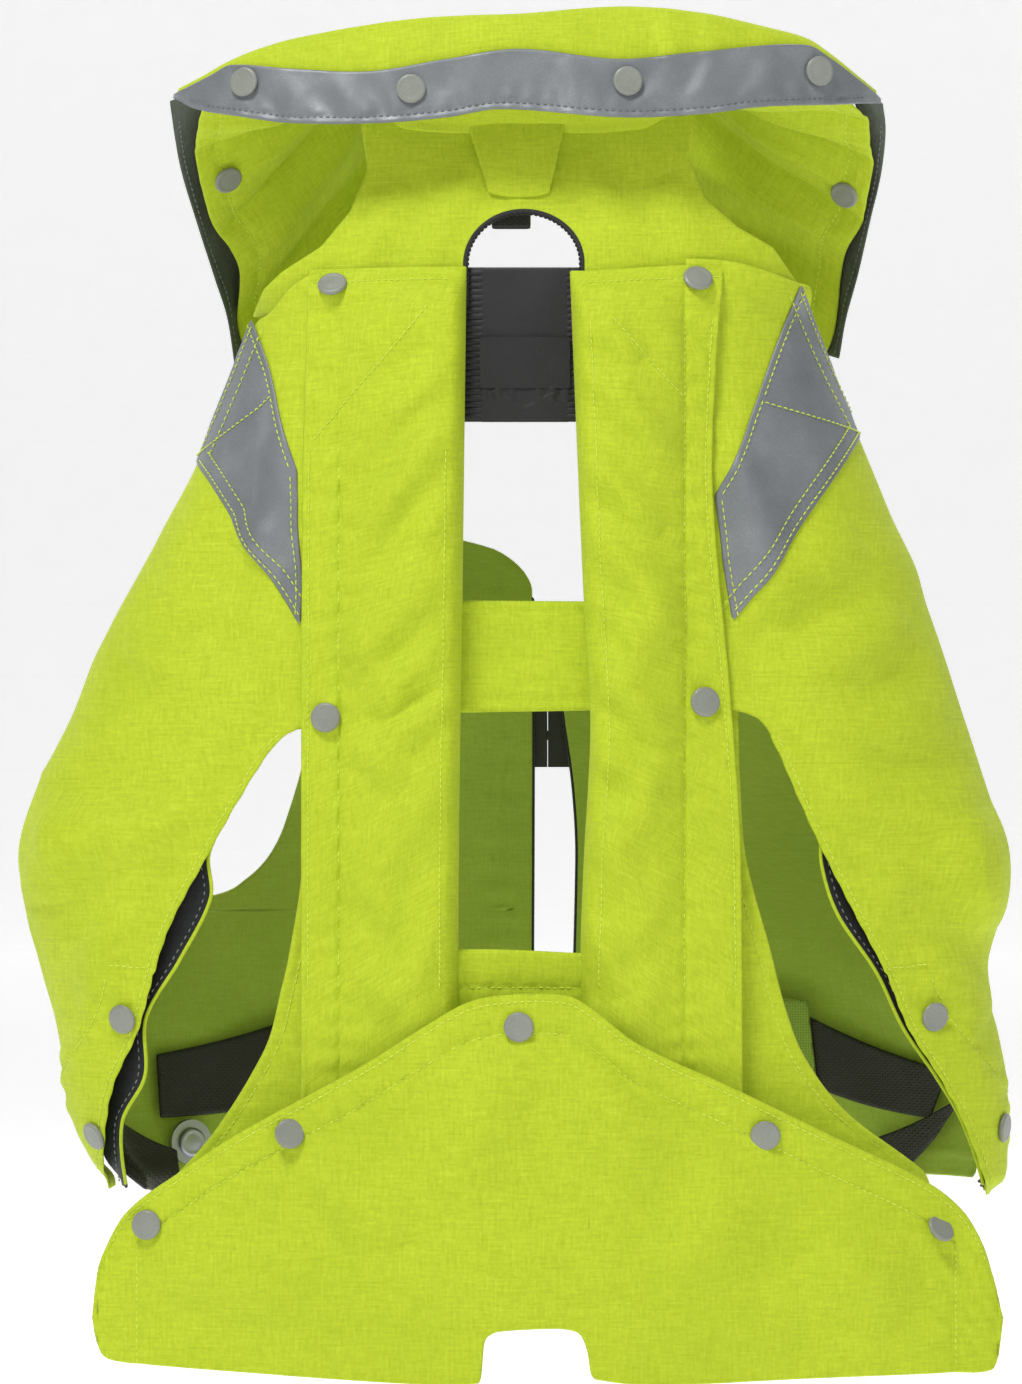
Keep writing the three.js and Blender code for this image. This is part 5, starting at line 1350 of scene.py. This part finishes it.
outer_run = {-1: [[-184, -14, 657], [-182, 2, 640], [-179, 18, 622], [-171, 36, 594], [-163, 54, 568], [-157, 68, 548],
                  [-153, 80, 520]],
             1: [[186, -10, 656], [188, 4, 643], [186, 18, 620], [182, 32, 601], [176, 50, 572], [170, 66, 548],
                 [167, 78, 528]]}
for side_name, side in SIDES.items():
    s = np.linspace(0, 1, 90)
    knots = np.linspace(0, 1, 7)
    a = stacked(*[through(np.stack([knots, np.array(outer_run[side])[:, k]], 1).tolist())(s) for k in range(3)])
    b = collar_point(side * (0.53 + 0.41 * s), np.full(90, 0.90), np.full(90, -1.8))
    w = np.linspace(0, 1, 14)[None, :, None]
    points = a[:, None] * (1 - w) + b[:, None] * w
    points = points + np.array([side * 1.0, -0.6, 0])[None, None] * (1.6 * np.sin(np.pi * w) + 0.8 * np.sin(s * 19)[:, None, None] * w * (1 - w) * 4)
    if side < 0:
        points = points[:, ::-1]
    fall = cloth(f"collar_band_fall_{side_name}", points, GREY_BACK_PAINTED_SHADE, 1.2)
    settle(fall, "vest", finish="reflective")
    cut_sheet(fall, points)
    settle(stitches(f"collar_fall_stitches_{side_name}",
                    [(a * 0.84 + b * 0.16 + (0, -1.2, 0), np.tile((side * -0.2, -0.97, 0), (90, 1)))], THREAD_GREY),
           "vest")

for name, sx, sz in (("back_left", -58, 657), ("back_right", 52, 661), ("side_left", -143, 662), ("side_right", 150, 668)):
    snap_on(f"snap_collar_{name}_cap", band_surface, sx, sz, "vest", None, 1.4)
for name, ts, vs in (("under_left", -0.705, 0.87), ("under_right", 0.725, 0.90)):
    here = collar_surface(np.array([ts]), np.array([vs]))[0]
    out = collar_point(np.array([ts]), np.array([vs]), np.array([20.0]))[0] - collar_point(np.array([ts]), np.array([vs]), np.array([0.0]))[0]
    out = out / np.linalg.norm(out)
    snap(f"snap_collar_{name}_cap", here + out * 2.6, out, "vest")
t_run = np.linspace(-0.97, 0.97, 500)
facing = collar_point(t_run, np.full(500, 0.88), np.full(500, 30.0)) - collar_point(t_run, np.full(500, 0.88), np.zeros(500))
facing /= np.linalg.norm(facing, axis=1, keepdims=True)
settle(stitches("collar_stitches", [(collar_surface(t_run, np.full(500, 0.88)) + facing * 0.95, facing)], THREAD), "vest")

nut = np.array([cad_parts["inflator_nut"].matrix_world @ point.co
                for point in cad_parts["inflator_nut"].data.vertices]) * 1000 - (0, 0, HEM * 1000)
nut_middle = (nut.min(axis=0) + nut.max(axis=0)) / 2
nut_axis = np.linalg.svd(nut - nut_middle, full_matrices=False)[2][2]
nut_axis = nut_axis * -np.sign(nut_axis[1])
snap("inflator_stub_cap", nut_middle + nut_axis * 1.7, nut_axis, "vest", stuff=ANODISED)

# ---- Front buckle webbing, badge plate and the finishes of the hard parts -------------------------------

buckle_low, buckle_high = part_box("buckle_socket")
bar_y = buckle_low.y * 1000
for side_name, side in SIDES.items():
    reach = 26.2 if side < 0 else 21.4
    run = np.array([[reach + 49, -2.0], [reach + 24, -2.1], [reach + 6, -2.0], [reach + 1.5, -1.6], [reach, -0.2],
                    [reach, 5.0], [reach, 11.2], [reach + 1.0, 12.4], [reach + 3.0, 12.7], [reach + 5.4, 12.0],
                    [reach + 8.4, 6.0], [reach + 11.0, 1.2], [reach + 15, 0.5], [reach + 36, 0.5]])
    knots = np.concatenate([[0], np.cumsum(np.linalg.norm(np.diff(run, axis=0), axis=1))])
    s = np.linspace(0, knots[-1], 130)
    px = through(np.stack([knots, run[:, 0]], 1).tolist())(s)
    py = through(np.stack([knots, run[:, 1]], 1).tolist())(s)
    x = 12.33 + side * px
    fall_away = on_front(x, np.full(130, 327.0), 0 * x)[..., 1] - on_front(np.array([12.0]), np.array([327.0]), np.zeros(1))[0, 1]
    zz = np.linspace(314.6, 339.4, 20)
    points = stacked(np.broadcast_to(x, (20, 130)), np.broadcast_to(bar_y + py + fall_away, (20, 130)), zz[:, None])
    if side < 0:
        points = points[:, ::-1]
    flat = stacked(np.broadcast_to(s, (20, 130)), zz[:, None], 0)[..., :2]
    belt = cloth(f"buckle_webbing_{side_name}", points, WEBBING, 1.5, uv=flat[:, ::-1] if side < 0 else flat)
    settle(belt, "vest", f"buckle_webbing_{side_name}", finish="webbing")
    cut_sheet(belt, points)
    bar_x = 12.33 + side * (reach + 30)
    box_x = bar_x + np.array([-8, 8, 8, -8, -8, 8]) * 1.0
    box_z = np.array([317, 317, 337, 337, 317, 337.0])
    way = np.linspace(0, 5, 160)
    bx, bz = np.interp(way, range(6), box_x), np.interp(way, range(6), box_z)
    by = bar_y + 1.35 + on_front(bx, np.full(160, 327.0), 0 * bx)[..., 1] - on_front(np.array([12.0]), np.array([327.0]), np.zeros(1))[0, 1]
    settle(stitches(f"buckle_box_stitches_{side_name}", [(stacked(bx, by, bz), np.tile((0.0, 1.0, 0.0), (160, 1)))],
                    THREAD_BLACK, gap=3.0), "vest")

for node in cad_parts.values():
    chosen = None
    for key, stuff in (("inflator_body", BUCKLE), ("inflator_nut", ANODISED), ("gas_cylinder", STEEL),
                       ("firing_pin", STEEL), ("lanyard_key", RED), ("badge_plate", RUBBER), ("buckle", BUCKLE),
                       ("snap", SNAP), ("bladder", FILM)):
        if key in node.name:
            chosen = stuff
            break
    chosen = chosen or BACKED_PAINTED_SHADE
    for place in node.material_slots:
        place.material = chosen
    if not node.material_slots:
        node.data.materials.append(chosen)

# ---- Floor, light and camera -------------------------------------------------------------------------------


def sweep():
    """A pale paper sweep: flat below the vest, and a quarter turn of 3 m up into a wall far behind it."""
    floor_z, radius, behind = -0.70, 3.0, 9.0
    turn = np.linspace(0, np.pi / 2, 40)
    y = np.concatenate([np.linspace(-14, behind, 24), behind + radius * np.sin(turn[1:]),
                        np.full(12, behind + radius)])
    z = np.concatenate([np.full(24, floor_z), floor_z + radius * (1 - np.cos(turn[1:])),
                        np.linspace(floor_z + radius + 0.3, 14, 12)])
    x = np.linspace(-26, 26, 30)
    points = stacked(x[None] * 1000, y[:, None] * 1000, (z[:, None] - HEM) * 1000)
    paper = bpy.data.meshes.new("paper_sweep")
    paper.from_pydata(to_metres(points).tolist(), [], grid_faces(len(y), 30).tolist())
    piece = bpy.data.objects.new("paper_sweep", paper)
    bpy.context.scene.collection.objects.link(piece)
    paper.materials.append(plain_material("paper_pale_matt", "#F4F4F2", "#FBFBFA", 0.9, 30.0, 0.02))
    glow = next(n for n in paper.materials[0].node_tree.nodes if n.type == "BSDF_PRINCIPLED")
    glow.inputs["Emission Color"].default_value = linear("#FFFFFF")
    glow.inputs["Emission Strength"].default_value = 0.5


def soft_light(name, place, aim, size, power, tone="#FFFFFF"):
    lamp = bpy.data.lights.new(name, "AREA")
    lamp.shape, lamp.size, lamp.size_y, lamp.energy = "RECTANGLE", size[0], size[1], power
    lamp.color = linear(tone)[:3]
    holder = bpy.data.objects.new(name, lamp)
    bpy.context.scene.collection.objects.link(holder)
    holder.location = place
    toward = np.array(aim) - np.array(place)
    holder.rotation_mode = "QUATERNION"
    holder.rotation_quaternion = Vector(toward).to_track_quat("-Z", "Y")


sweep()
soft_light("key_overhead", (-0.85, -1.5, 2.5), (0, 0, -0.25), (0.8, 0.8), 78)
soft_light("fill_right", (2.6, -2.0, 0.9), (0, 0, -0.3), (1.4, 1.6), 10)
soft_light("back_top", (0.3, 1.7, 2.2), (0, 0, -0.2), (1.8, 1.0), 18)
soft_light("front_low", (-0.4, -3.6, 0.2), (0, 0, -0.3), (2.0, 1.4), 5)

world = bpy.data.worlds.new("studio")
bpy.context.scene.world = world
world.use_nodes = True
world.node_tree.nodes["Background"].inputs["Color"].default_value = linear("#F2F4F6")
world.node_tree.nodes["Background"].inputs["Strength"].default_value = 0.22

lens = bpy.data.cameras.new("camera")
lens.lens, lens.sensor_width, lens.clip_end = 204.0, 36.0, 30.0
camera = bpy.data.objects.new("camera", lens)
bpy.context.scene.collection.objects.link(camera)
camera.location = (-0.0071, -4.09, -0.2608)
camera.rotation_euler = (np.pi / 2, 0, 0)
bpy.context.scene.camera = camera
bpy.context.scene.view_settings.view_transform = "Standard"
